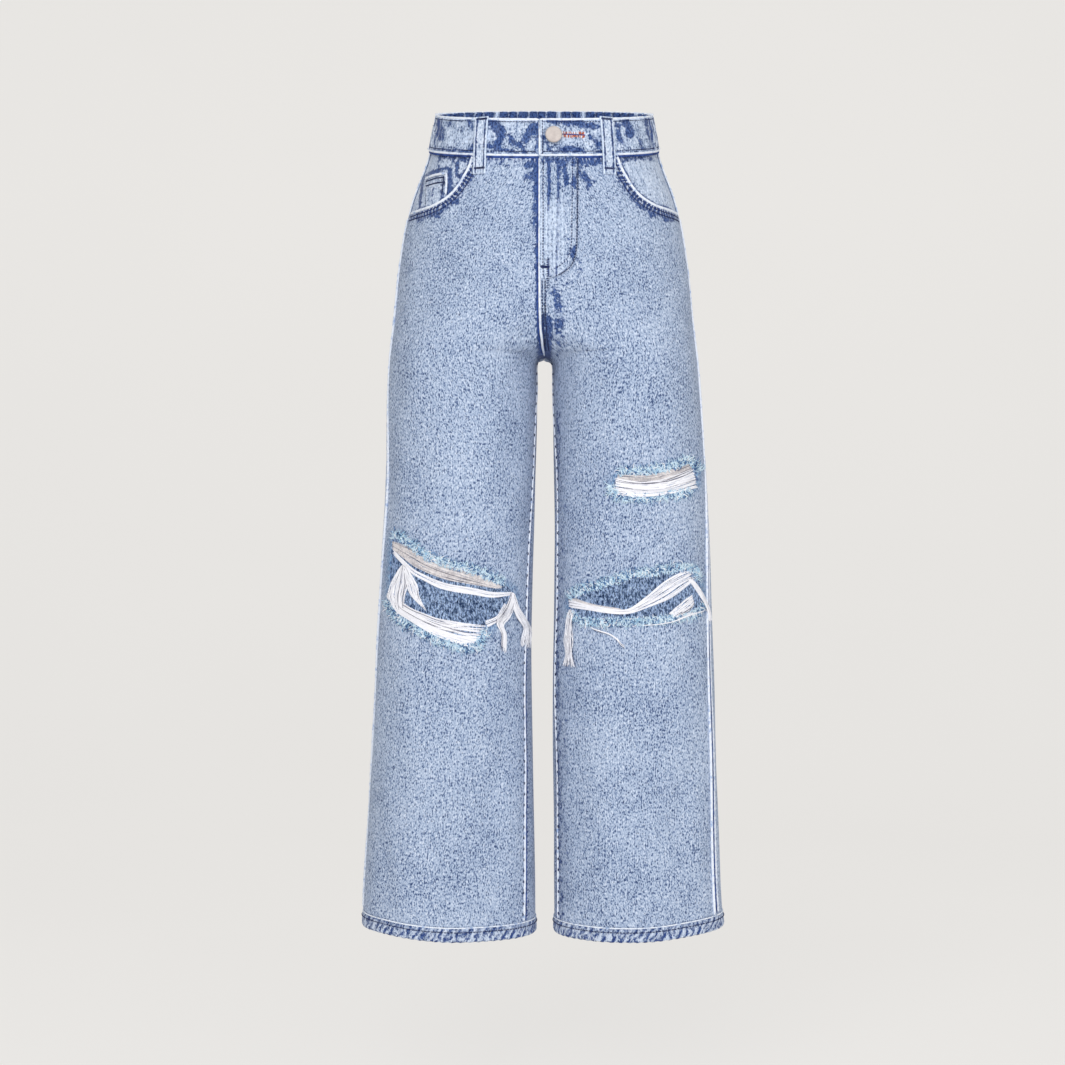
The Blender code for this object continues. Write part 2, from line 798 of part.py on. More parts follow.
def hem(side, name, finish):
    """The turned-up hem of one leg, a ring of three layers that puckers a little."""
    columns, rows = 40, 1
    roping, depth = 20, 0.35

    def place(column, row):
        height = HEM_BOTTOM + HEM_HEIGHT * (1 - row / rows)
        angle = even_angles(side, height, 0.0, 360.0, columns)[column % columns]
        angle = 0.0 if column in (0, columns) else angle
        point = cloth_point(side, height, angle if angle <= 180 else angle - 360)
        normal = cloth_normal(side, height, angle if angle <= 180 else angle - 360)
        swell = depth * math.cos(2 * math.pi * roping * column / columns)
        outer = HEM_PROUD + swell
        return offset_pair(point, normal, outer, HEM_PROUD - HEM_THICKNESS)

    return wall(name, columns, rows, place, finish, closed=True)


def button(finish):
    """The waist button: a turned cap on a short shank, on the waistband."""
    radius, cap, shank_radius, shank = 8.5, 2.6, 4.2, 1.3
    point, normal = front_at(8.8, -20.3)
    seat = BAND_PROUD + SEAM_GAP
    profile = [
        (0.0, shank + cap),
        (radius * 0.55, shank + cap),
        (radius * 0.86, shank + cap * 0.93),
        (radius * 0.97, shank + cap * 0.72),
        (radius, shank + cap * 0.45),
        (radius * 0.94, shank + cap * 0.12),
        (radius * 0.80, shank),
        (shank_radius, shank),
        (shank_radius, 0.0),
        (0.0, 0.0),
    ]
    maker = bmesh.new()
    verts = [maker.verts.new((r * MM, 0, z * MM)) for r, z in profile]
    edges = [maker.edges.new(pair) for pair in zip(verts, verts[1:])]
    bmesh.ops.spin(
        maker,
        geom=verts + edges,
        axis=(0, 0, 1),
        cent=(0, 0, 0),
        angle=2 * math.pi,
        steps=20,
        use_merge=True,
    )
    bmesh.ops.remove_doubles(maker, verts=maker.verts, dist=0.00001)
    turn = Vector((0, 0, 1)).rotation_difference(normal).to_matrix().to_4x4()
    bmesh.ops.transform(maker, matrix=turn, verts=maker.verts)
    bmesh.ops.translate(maker, verts=maker.verts, vec=(point + normal * seat) * MM)
    return add_object("button", maker, finish)


# Outlines of the rips in front view, clockwise: (across, height)
KNEE_RIP_RIGHT = [
    (-158.0, -433.0), (-138.8, -442.0), (-123.2, -453.0), (-103.5, -460.8), (-79.6, -467.0),
    (-57.0, -475.0), (-37.0, -485.0), (-33.5, -495.0), (-40.0, -510.0), (-52.0, -521.0),
    (-63.0, -529.0), (-71.0, -541.0), (-82.0, -543.5), (-100.0, -538.5), (-123.2, -529.4),
    (-150.0, -515.0), (-161.0, -500.0), (-162.0, -479.5), (-160.5, -455.6),
]
THIGH_RIP_LEFT = [
    (77.0, -367.8), (102.4, -367.0), (126.4, -361.5), (148.0, -355.8), (157.0, -362.5),
    (158.5, -374.5), (150.0, -382.5), (115.0, -387.0), (79.0, -388.5), (71.0, -379.5),
]
KNEE_RIP_LEFT = [
    (28.0, -497.0), (44.2, -487.5), (65.0, -480.6), (86.8, -474.3), (109.7, -470.2),
    (134.0, -467.0), (152.0, -467.0), (160.0, -478.0), (165.0, -493.0), (160.0, -506.0),
    (133.6, -511.5), (98.3, -516.0), (64.0, -517.0), (40.0, -516.0), (29.0, -509.0),
]

RIM_WIDTH = 2.6
RIM_STEPS = 2
RIM_DEPTH = SEAM_GAP + RIM_WIDTH


def edge_depth(outline, spot):
    """How deep a spot lies inside an outline, with the nearest point of the outline and the
    inward direction there."""
    best = None
    count = len(outline)
    for i in range(count):
        ax, az = outline[i]
        bx, bz = outline[(i + 1) % count]
        dx, dz = bx - ax, bz - az
        length = math.hypot(dx, dz)
        share = ((spot[0] - ax) * dx + (spot[1] - az) * dz) / length**2
        share = min(1.0, max(0.0, share))
        near = (ax + dx * share, az + dz * share)
        inward = (dz / length, -dx / length)
        far = math.hypot(spot[0] - near[0], spot[1] - near[1])
        if best is None or far < abs(best[0]):
            depth = (spot[0] - near[0]) * inward[0] + (spot[1] - near[1]) * inward[1]
            best = (math.copysign(far, depth), near, inward)
    return best


def held_in(outline, spot, least, exact=False):
    """A spot moved to lie at least so deep inside an outline, or exactly so deep."""
    depth, near, inward = edge_depth(outline, spot)
    if depth >= least and not exact:
        return spot
    return near[0] + inward[0] * least, near[1] + inward[1] * least


def start_rim(skin, outline):
    """The strip of frayed cloth inside a rip's cut edge, as a bmesh, with its front faces and
    its faces towards the hole in the order of the outline."""
    maker = bmesh.new()
    count = len(outline)
    rings = []
    for depth in (SEAM_GAP, RIM_DEPTH):
        ring = []
        for across, height in inset(outline, depth):
            point, normal = facet_at(skin, across, height)
            back = point + Vector((0, CLOTH / max(0.5, -normal.y), 0))
            ring.append((maker.verts.new(point * MM), maker.verts.new(back * MM)))
        rings.append(ring)
    outer, inner = rings
    fronts, holes = [], []
    for i in range(count):
        k = (i + 1) % count
        fronts.append(maker.faces.new((inner[i][0], inner[k][0], outer[k][0], outer[i][0])))
        maker.faces.new((outer[i][1], outer[k][1], inner[k][1], inner[i][1]))
        maker.faces.new((outer[i][0], outer[k][0], outer[k][1], outer[i][1]))
        holes.append(maker.faces.new((inner[i][1], inner[k][1], inner[k][0], inner[i][0])))
    maker.normal_update()
    return maker, fronts, holes


def grow(maker, face, path, radius, tip):
    """Draw a face out into one yarn or lock with four sides, along a path of points."""
    corners = list(face.verts)
    side = (corners[1].co - corners[0].co).normalized()
    signs = ((-1, -1), (1, -1), (1, 1), (-1, 1))
    path = [face.calc_center_median() / MM, *path]
    last = len(path) - 1
    for i in range(1, len(path)):
        ahead = (path[min(i + 1, last)] - path[i - 1]).normalized()
        side = (side - ahead * side.dot(ahead)).normalized()
        up = ahead.cross(side)
        size = radius + (tip - radius) * i / last
        grown = bmesh.ops.extrude_discrete_faces(maker, faces=[face])
        face = grown["faces"][0]
        for vert, (a, b) in zip(face.verts, signs):
            vert.co = (path[i] + (side * a + up * b) * size * 0.8) * MM


Fringe = namedtuple("Fringe", "start end length sway")
Yarn = namedtuple("Yarn", "places radius tip")
LOCK_RADIUS = 0.8
LIFT = 1.9


def stood(skin, places):
    """World points of (across, height, stand-off) places."""
    points = []
    for across, height, stand in places:
        point, normal = facet_at(skin, across, height)
        points.append(point + normal * stand)
    return points


def nearest_segment(outline, spot, taken):
    """The segment of an outline nearest a spot, of those not yet taken."""
    best = None
    for i in range(len(outline)):
        if i in taken:
            continue
        ax, az = outline[i]
        bx, bz = outline[(i + 1) % len(outline)]
        far = math.hypot(spot[0] - (ax + bx) / 2, spot[1] - (az + bz) / 2)
        if best is None or far < best[0]:
            best = (far, i)
    return best[1]


def grow_yarn(maker, skin, outline, faces, taken, yarn):
    """A white yarn across a rip, drawn from the rim's inner wall to just short of the far side,
    or a tassel that rises from the rim and hangs over the cloth."""
    fronts, holes = faces
    tassel = yarn.places[1][2] > 0
    used = taken[0 if tassel else 1]
    index = nearest_segment(outline, yarn.places[0][:2], used)
    used.add(index)
    face = (fronts if tassel else holes)[index]
    run_depth = RIM_DEPTH + yarn.radius + 0.5
    places = []
    for x, z, stand in yarn.places[1:]:
        if stand < 0:
            x, z = held_in(outline, (x, z), run_depth)
        places.append((x, z, stand))
    if not tassel:
        x, z, stand = places[-1]
        x, z = held_in(outline, (x, z), RIM_DEPTH + yarn.tip + 0.5, exact=True)
        places[-1] = (x, z, stand)
    centre = face.calc_center_median() / MM
    if tassel:
        normal = facet_at(skin, centre.x, centre.z)[1]
        points = [centre + normal * LIFT, *stood(skin, places)]
    else:
        points = stood(skin, places)
    curve = open_curve([tuple(p) for p in (centre, *points)], 2)[1:]
    if tassel:
        curve = curve[1:]
    grow(maker, face, [Vector(p) for p in curve], yarn.radius, yarn.tip)


def grow_locks(maker, skin, outline, faces, taken, fringe):
    """Locks of frayed yarn along a stretch of a rip's edge, that rise and hang down over it."""
    count = len(outline)
    for index in range(round(fringe.start * count), round(fringe.end * count)):
        if index in taken[0]:
            continue
        taken[0].add(index)
        face = faces[0][index]
        centre = face.calc_center_median() / MM
        normal = facet_at(skin, centre.x, centre.z)[1]
        length = fringe.length * (0.75 + 0.25 * math.cos(index * 2.4))
        lean = fringe.sway * math.sin(index * 1.7)
        places = [
            (centre.x + 0.4 * lean, centre.z - 0.45 * length, LIFT + 0.2),
            (centre.x + lean, centre.z - length, LIFT - 0.3),
        ]
        path = [centre + normal * LIFT, *stood(skin, places)]
        grow(maker, face, path, LOCK_RADIUS, 0.4)


def ripped_edge(name, panel, outline, fringes, yarns, finish):
    """A rip's frayed rim with its locks of fringe and the white yarns that cross it."""
    skin = panel_skin(panel)
    maker, fronts, holes = start_rim(skin, outline)
    faces, taken = (fronts, holes), (set(), set())
    for yarn in yarns:
        grow_yarn(maker, skin, outline, faces, taken, yarn)
    for fringe in fringes:
        grow_locks(maker, skin, outline, faces, taken, fringe)
    return add_object(name, maker, finish)


def panel_skin(panel):
    """The flat faces of a panel before it is cut, to find points on."""
    mesh = panel.data
    verts = [v.co.copy() for v in mesh.vertices]
    return BVHTree.FromPolygons(verts, [tuple(p.vertices) for p in mesh.polygons])


# Yarns of each rip: places are (across, height, stand-off from the cloth's outer face)
RIGHT_KNEE_YARNS = [
    Yarn([(-160.0, -449.0), (-128.0, -460.0, -0.9), (-94.0, -469.5, -0.9),
          (-72.0, -471.0, -0.8)], 0.9, 0.8),
    Yarn([(-161.5, -461.0), (-128.0, -468.0, -0.9), (-94.0, -474.5, -0.9),
          (-57.0, -477.0, -0.8)], 0.9, 0.8),
    Yarn([(-162.0, -473.0), (-132.0, -476.0, -0.9), (-98.0, -480.0, -0.9),
          (-44.0, -483.0, -0.8)], 0.9, 0.8),
    Yarn([(-161.5, -484.0), (-132.0, -484.5, -0.9), (-98.0, -486.5, -0.9),
          (-36.0, -490.0, -0.8)], 0.9, 0.8),
    Yarn([(-161.0, -496.0), (-134.0, -504.0, -0.9), (-104.0, -514.0, -0.9),
          (-55.0, -520.0, -0.8)], 0.9, 0.8),
    Yarn([(-157.0, -507.0), (-132.0, -512.5, -0.9), (-104.0, -522.0, -0.9),
          (-62.0, -527.5, -0.8)], 0.9, 0.8),
    Yarn([(-148.0, -516.0), (-121.0, -521.5, -0.9), (-100.0, -529.5, -0.9),
          (-70.0, -536.5, -0.8)], 0.9, 0.8),
    Yarn([(-161.5, -467.0), (-148.0, -478.0, 2.6), (-142.0, -489.0, 2.8),
          (-137.0, -500.0, 2.4)], 1.5, 0.9),
    Yarn([(-162.0, -489.0), (-156.0, -499.0, 2.6), (-153.0, -509.0, 2.4)], 1.4, 0.7),
    Yarn([(-38.0, -506.0), (-43.5, -518.0, 3.0), (-45.5, -533.0, 3.2),
          (-46.0, -549.0, 2.8)], 1.3, 1.6),
    Yarn([(-42.0, -483.0), (-34.0, -499.0, 3.4), (-26.0, -522.0, 3.0),
          (-22.0, -544.0, 3.0)], 1.3, 1.6),
]
LEFT_THIGH_YARNS = [
    Yarn([(157.5, -366.0), (130.0, -368.5, -0.9), (104.0, -371.5, -0.9),
          (74.5, -372.0, -0.8)], 0.9, 0.7),
    Yarn([(158.0, -371.5), (130.0, -373.2, -0.9), (104.0, -376.0, -0.9),
          (72.5, -376.6, -0.8)], 0.9, 0.7),
    Yarn([(156.0, -377.5), (130.0, -378.4, -0.9), (104.0, -380.6, -0.9),
          (74.0, -381.2, -0.8)], 0.9, 0.7),
]
LEFT_KNEE_YARNS = [
    Yarn([(28.5, -500.0), (58.0, -503.5, -0.9), (94.0, -499.5, -0.9),
          (125.0, -482.0, -0.9), (148.0, -471.0, -0.8)], 0.9, 0.8),
    Yarn([(28.5, -506.0), (58.0, -507.5, -0.9), (96.0, -503.5, -0.9),
          (128.0, -488.0, -0.9), (156.0, -476.5, -0.8)], 0.9, 0.8),
    Yarn([(33.0, -513.0), (58.0, -511.5, -0.9), (100.0, -507.5, -0.9),
          (132.0, -494.0, -0.9), (160.5, -482.5, -0.8)], 0.9, 0.8),
    Yarn([(161.0, -481.0), (167.0, -496.0, 2.8), (170.5, -508.0, 2.8),
          (173.0, -522.0, 2.6)], 1.6, 0.8),
    Yarn([(164.0, -497.0), (150.0, -499.0, 2.8), (136.0, -506.0, 2.6)], 1.5, 0.7),
    Yarn([(29.0, -508.0), (28.5, -524.0, 3.0), (28.5, -543.0, 3.2),
          (28.5, -562.0, 3.2)], 1.6, 2.2),
    Yarn([(46.8, -517.0), (50.0, -527.0, 2.8), (64.0, -531.5, 2.6),
          (76.0, -539.0, 2.6), (85.0, -547.0, 2.6)], 0.7, 0.6),
]

Rip = namedtuple("Rip", "name outline fringes yarns")
RIPS = {
    -1: [
        Rip("rip_knee_right", KNEE_RIP_RIGHT,
            [Fringe(0.03, 0.27, 9.0, 2.2), Fringe(0.58, 0.80, 9.0, 2.2)], RIGHT_KNEE_YARNS),
    ],
    1: [
        Rip("rip_thigh_left", THIGH_RIP_LEFT,
            [Fringe(0.01, 0.36, 8.0, 2.0), Fringe(0.55, 0.90, 8.0, 2.2)], LEFT_THIGH_YARNS),
        Rip("rip_knee_left", KNEE_RIP_LEFT,
            [Fringe(0.02, 0.40, 8.0, 2.2), Fringe(0.57, 0.93, 8.0, 2.2)], LEFT_KNEE_YARNS),
    ],
}


def main():
    """Build every piece of the garment."""
    clear_scene()
    denim = material("denim", DENIM)
    light = material("denim_light", DENIM_LIGHT)
    deep = material("denim_deep", DENIM_DEEP)
    yarn = material("yarn", YARN, 0.95)
    metal = material("button_metal", METAL, 0.35, 1.0)
    for side, word in ((1, "left"), (-1, "right")):
        panel = front_panel(side, f"front_{word}", denim)
        cut(panel, pocket_cutter(side, f"mouth_{word}"))
        for rip in RIPS[side]:
            outline = closed_curve(rip.outline, RIM_STEPS)
            cut(panel, cutter(f"{rip.name}_hole", outline))
            ripped_edge(rip.name, panel, outline, rip.fringes, rip.yarns, yarn)
        back_panel(side, f"back_{word}", denim)
        yoke(side, f"yoke_{word}", denim)
        pocket_facing(side, f"pocket_facing_{word}", light)
        back_pocket(side, f"back_pocket_{word}", light)
        hem(side, f"hem_{word}", deep)
    fly(light)
    coin_pocket(light)
    front_bands(denim)
    back_band(denim)
    for loop in LOOPS:
        belt_loop(loop, light)
    button(metal)


main()
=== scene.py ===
"""Ripped wide-leg jeans with a gathered elastic back waist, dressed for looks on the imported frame.

Lengths in the tables are millimetres, with +Z up, the front facing -Y and the wearer's left at
+X; meshes are made in metres. The cloth follows the same rounded leg and hip sections as the
solids, with softer folds, seams, stitches, frayed rips and yarns added.
"""

import json
import logging
import math
from dataclasses import dataclass, field
from enum import Enum
from typing import Optional, Sequence, Union

import bmesh
import bpy
import numpy as np
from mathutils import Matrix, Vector

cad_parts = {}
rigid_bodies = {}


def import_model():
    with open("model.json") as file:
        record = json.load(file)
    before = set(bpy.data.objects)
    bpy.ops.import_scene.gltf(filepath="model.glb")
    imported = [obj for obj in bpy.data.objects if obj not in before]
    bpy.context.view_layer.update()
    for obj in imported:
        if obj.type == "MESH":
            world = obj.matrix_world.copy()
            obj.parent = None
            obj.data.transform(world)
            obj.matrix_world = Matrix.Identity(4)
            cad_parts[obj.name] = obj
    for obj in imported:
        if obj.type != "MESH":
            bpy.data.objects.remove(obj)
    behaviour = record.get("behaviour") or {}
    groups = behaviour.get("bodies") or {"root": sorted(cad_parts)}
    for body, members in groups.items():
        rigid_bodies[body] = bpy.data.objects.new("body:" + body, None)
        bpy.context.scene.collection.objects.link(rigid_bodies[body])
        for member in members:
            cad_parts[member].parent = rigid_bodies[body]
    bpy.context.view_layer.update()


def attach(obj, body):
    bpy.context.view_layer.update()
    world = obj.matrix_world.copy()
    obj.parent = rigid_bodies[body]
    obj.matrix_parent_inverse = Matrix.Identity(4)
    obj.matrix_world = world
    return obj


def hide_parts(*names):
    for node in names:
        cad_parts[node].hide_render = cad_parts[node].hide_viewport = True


LOG = logging.getLogger("jeans")
MM = 0.001
Array = np.ndarray
Number = Union[float, Array]

# ---------------------------------------------------------------- sizes shared with the solids
CLOTH, BAND_CLOTH = 1.4, 2.9
BAND_TOP, BAND_BOTTOM, BAND_PROUD = 19.8, -17.7, 1.2
BAND_HEIGHT = BAND_TOP - BAND_BOTTOM
PANEL_TOP, PANEL_BOTTOM = -18.1, -836.6
CROTCH = -240.0
HEM_BOTTOM, HEM_HEIGHT = -852.0, 15.0
LAY = 0.6
YOKE_SIDE, YOKE_CENTRE = 36.0, 62.0
SIDES = (-1, 1)
FAR_OFF = 60.0
"""a distance at which no seam changes the cloth"""

SECTIONS = np.array([
    (30, 112, 112, 9, 9, 83, 83, 0, 2.30), (0, 118.5, 118, 9, 9, 86, 86, 0, 2.30),
    (-28, 124.5, 123.5, 9, 9, 89, 90, 1, 2.32), (-77, 142, 141, 9, 9, 98, 101, 4, 2.35),
    (-141, 154.5, 152.5, 9, 9, 106, 109, 8, 2.35), (-205, 162, 159, 9, 9, 106, 106, 10, 2.30),
    (-240, 166, 163, 9, 9, 102, 102, 10, 2.25), (-281, 168.5, 166.5, 8, 9, 97, 96, 8, 2.20),
    (-384, 170, 174, 10, 11, 87, 84, 4, 2.15), (-486, 175.5, 178, 13, 10.5, 80, 76, 2, 2.15),
    (-590, 180, 181.5, 14, 8.5, 75, 73, 1, 2.15), (-692, 185.5, 184.5, 11.5, 10, 71, 71, 1, 2.15),
    (-795, 191.5, 187.5, 10, 10.5, 68, 69, 1, 2.15), (-860, 194.5, 191.5, 9.5, 10.5, 66, 68, 1, 2.15),
])
"""height, right out, left out, right gap, left gap, front, back, middle, squareness"""

SEAMS = np.array([
    (30, 0, 0, 0, 0), (-140, 3, 2, 0, 0), (-240, 9, 6, 0, 0), (-300, 13, 9, 8, 6),
    (-384, 14, 13, 15, 13), (-486, 7, 18, 20, 14), (-590, 0, 20, 23, 14),
    (-692, -6, 21, 25, 14), (-860, -10, 22, 29, 15),
], dtype=float)
"""height, right outer, left outer, right inner, left inner: degrees to the front"""

FOLDS = (
    (-1, 66, -560, -900, 15, 2.6), (-1, 118, -600, -900, 17, -2.4), (-1, 100, -250, -440, 16, 2.0),
    (1, 60, -570, -900, 16, -2.2), (1, 112, -540, -900, 15, 2.6), (1, 120, -250, -430, 15, -2.0),
    (-1, -62, -330, -900, 18, 3.2), (-1, -120, -300, -640, 16, -3.0), (-1, -98, -600, -900, 15, -2.6),
    (1, -66, -340, -900, 17, -3.0), (1, -112, -290, -700, 18, 3.2), (1, -90, -620, -900, 14, 2.4),
)
"""side, angle, top, bottom, width, depth"""

CREASES = (
    (1, 150, -240, 104, -290, 12, -0.8), (-1, 152, -242, 106, -294, 12, -0.8),
    (1, 128, -214, 92, -226, 8, -0.9), (-1, 130, -216, 94, -228, 8, -0.9),
    (1, -160, -250, -104, -286, 11, -2.6), (1, -166, -272, -112, -322, 11, -2.2),
    (-1, -158, -252, -102, -290, 11, -2.6), (-1, -164, -276, -110, -326, 11, -2.2),
    (1, -60, -486, -128, -500, 10, -2.4), (1, -52, -520, -122, -544, 11, 2.2),
    (1, -70, -548, -136, -530, 10, -2.2), (-1, -58, -492, -124, -508, 10, -2.5),
    (-1, -50, -528, -120, -552, 11, 2.1), (-1, -66, -560, -134, -540, 10, -2.1),
    (1, 40, -640, 78, -760, 12, -1.0), (-1, 132, -650, 100, -780, 12, -1.0),
    (1, 150, -560, 140, -700, 10, 1.0), (-1, 44, -700, 60, -820, 12, 1.0),
    (1, -40, -700, -70, -800, 12, -2.0), (-1, -130, -690, -100, -800, 12, -2.0),
    (1, 30, -120, 62, -168, 12, -0.8), (-1, 30, -122, 64, -170, 12, -0.8),
    (1, -30, -150, -70, -226, 12, -1.6), (-1, -30, -152, -70, -228, 12, -1.6),
)
"""side, first angle and height, last angle and height, width, depth: soft troughs and ridges"""

POCKET_MOUTH = [(73.5, -36.0), (78.5, -50.0), (84.0, -60.0), (91.0, -71.0), (101.5, -81.0),
                (116.0, -87.5), (131.0, -89.5), (150.0, -89.5)]
KNEE_RIP_RIGHT = [
    (-158.0, -433.0), (-138.8, -442.0), (-123.2, -453.0), (-103.5, -460.8), (-79.6, -467.0),
    (-57.0, -475.0), (-37.0, -485.0), (-33.5, -495.0), (-40.0, -510.0), (-52.0, -521.0),
    (-63.0, -529.0), (-71.0, -541.0), (-82.0, -543.5), (-100.0, -538.5), (-123.2, -529.4),
    (-150.0, -515.0), (-161.0, -500.0), (-162.0, -479.5), (-160.5, -455.6),
]
THIGH_RIP_LEFT = [
    (77.0, -367.8), (102.4, -367.0), (126.4, -361.5), (148.0, -355.8), (157.0, -362.5),
    (158.5, -374.5), (150.0, -382.5), (115.0, -387.0), (79.0, -388.5), (71.0, -379.5),
]
KNEE_RIP_LEFT = [
    (28.0, -497.0), (44.2, -487.5), (65.0, -480.6), (86.8, -474.3), (109.7, -470.2),
    (134.0, -467.0), (152.0, -467.0), (160.0, -478.0), (165.0, -493.0), (160.0, -506.0),
    (133.6, -511.5), (98.3, -516.0), (64.0, -517.0), (40.0, -516.0), (29.0, -509.0),
]


class View(Enum):
    """The face of the garment that a place is given on."""

    FRONT = 1
    BACK = -1


FRONT, BACK = View
Item = bpy.types.Object
Places = Sequence[Sequence[float]]


# ---------------------------------------------------------------- small number helpers
def evenly(count: int) -> Array:
    """Evenly spaced shares from 0 to 1."""
    return np.linspace(0, 1, count)


def smooth(value: Number, start: float, end: float) -> Number:
    """0 at start, 1 at end, with a soft change between."""
    share = np.clip((value - start) / (end - start), 0.0, 1.0)
    return share * share * (3.0 - 2.0 * share)


def curve_through(corners: Places, steps: int, closed: bool = False) -> Array:
    """Points of a smooth curve through corners.

    Args:
        corners: The points that the curve passes, of any dimension.
        steps: How many points each span gets.
        closed: Whether the curve returns to its start.

    Returns:
        The points, one a row; a closed curve doesn't repeat its first.
    """
    knots = np.asarray(corners, dtype=float)
    count = len(knots)
    spans = count if closed else count - 1
    index = np.arange(spans * steps + (0 if closed else 1))
    low, share = index // steps, (index % steps) / steps

    def knot(i: Array) -> Array:
        return knots[i % count] if closed else knots[np.clip(i, 0, count - 1)]

    a, b, c, d = knot(low - 1), knot(low), knot(low + 1), knot(low + 2)
    t = share[:, None]
    return 0.5 * (2 * b + (c - a) * t + (2 * a - 5 * b + 4 * c - d) * t**2
                  + (3 * b - a - 3 * c + d) * t**3)


def unit(vectors: Array) -> Array:
    """Vectors of length one."""
    return vectors / np.maximum(np.linalg.norm(vectors, axis=-1, keepdims=True), 1e-9)


def lengths_along(points: Array) -> Array:
    """The distance along a line of points, from its first."""
    steps = np.linalg.norm(np.diff(points, axis=0), axis=1)
    return np.concatenate([[0.0], np.cumsum(steps)])


def read_rows(wanted: Number, knots: Array, rows: Array) -> Array:
    """Rows read off at wanted places between their knots."""
    return np.stack([np.interp(wanted, knots, column) for column in rows.T], axis=-1)


def bell(value: Number, width: float) -> Number:
    """1 at nought, fading to both sides over a width."""
    return np.exp(-((value / width) ** 2))


def side_word(side: int) -> str:
    """The wearer's side in words."""
    return "left" if side > 0 else "right"


def nearest_on(line: Array, spots: Array, closed: bool = False) -> tuple[Array, Array, Array]:
    """The nearest places on a line of points to many spots.

    Args:
        line: The line's points, one a row.
        spots: The spots, one a row, of the same dimension.
        closed: Whether the line returns to its first point.

    Returns:
        The distance of each spot, its distance along the line, and its nearest point.
    """
    starts = line if closed else line[:-1]
    ends = np.roll(line, -1, axis=0) if closed else line[1:]
    ways = ends - starts
    spans = np.linalg.norm(ways, axis=1)
    before = np.concatenate([[0.0], np.cumsum(spans)])[:-1]
    best = np.full(len(spots), 1e9)
    along = np.zeros(len(spots))
    near = np.zeros_like(spots)
    for start, way, span, base in zip(starts, ways, spans, before):
        if span < 1e-9:
            continue
        share = np.clip(((spots - start) @ way) / span**2, 0.0, 1.0)
        place = start + share[:, None] * way
        far = np.linalg.norm(spots - place, axis=1)
        closer = far < best
        best[closer], near[closer] = far[closer], place[closer]
        along[closer] = base + share[closer] * span
    return best, along, near


def inside(outline: Array, spots: Array) -> Array:
    """Whether each spot of a plane lies in a closed outline."""
    x, y = spots[:, 0], spots[:, 1]
    result = np.zeros(len(spots), dtype=bool)
    for (ax, ay), (bx, by) in zip(outline, np.roll(outline, -1, axis=0)):
        if ay == by:
            continue
        crosses = (ay > y) != (by > y)
        result ^= crosses & (x < (bx - ax) * (y - ay) / (by - ay) + ax)
    return result


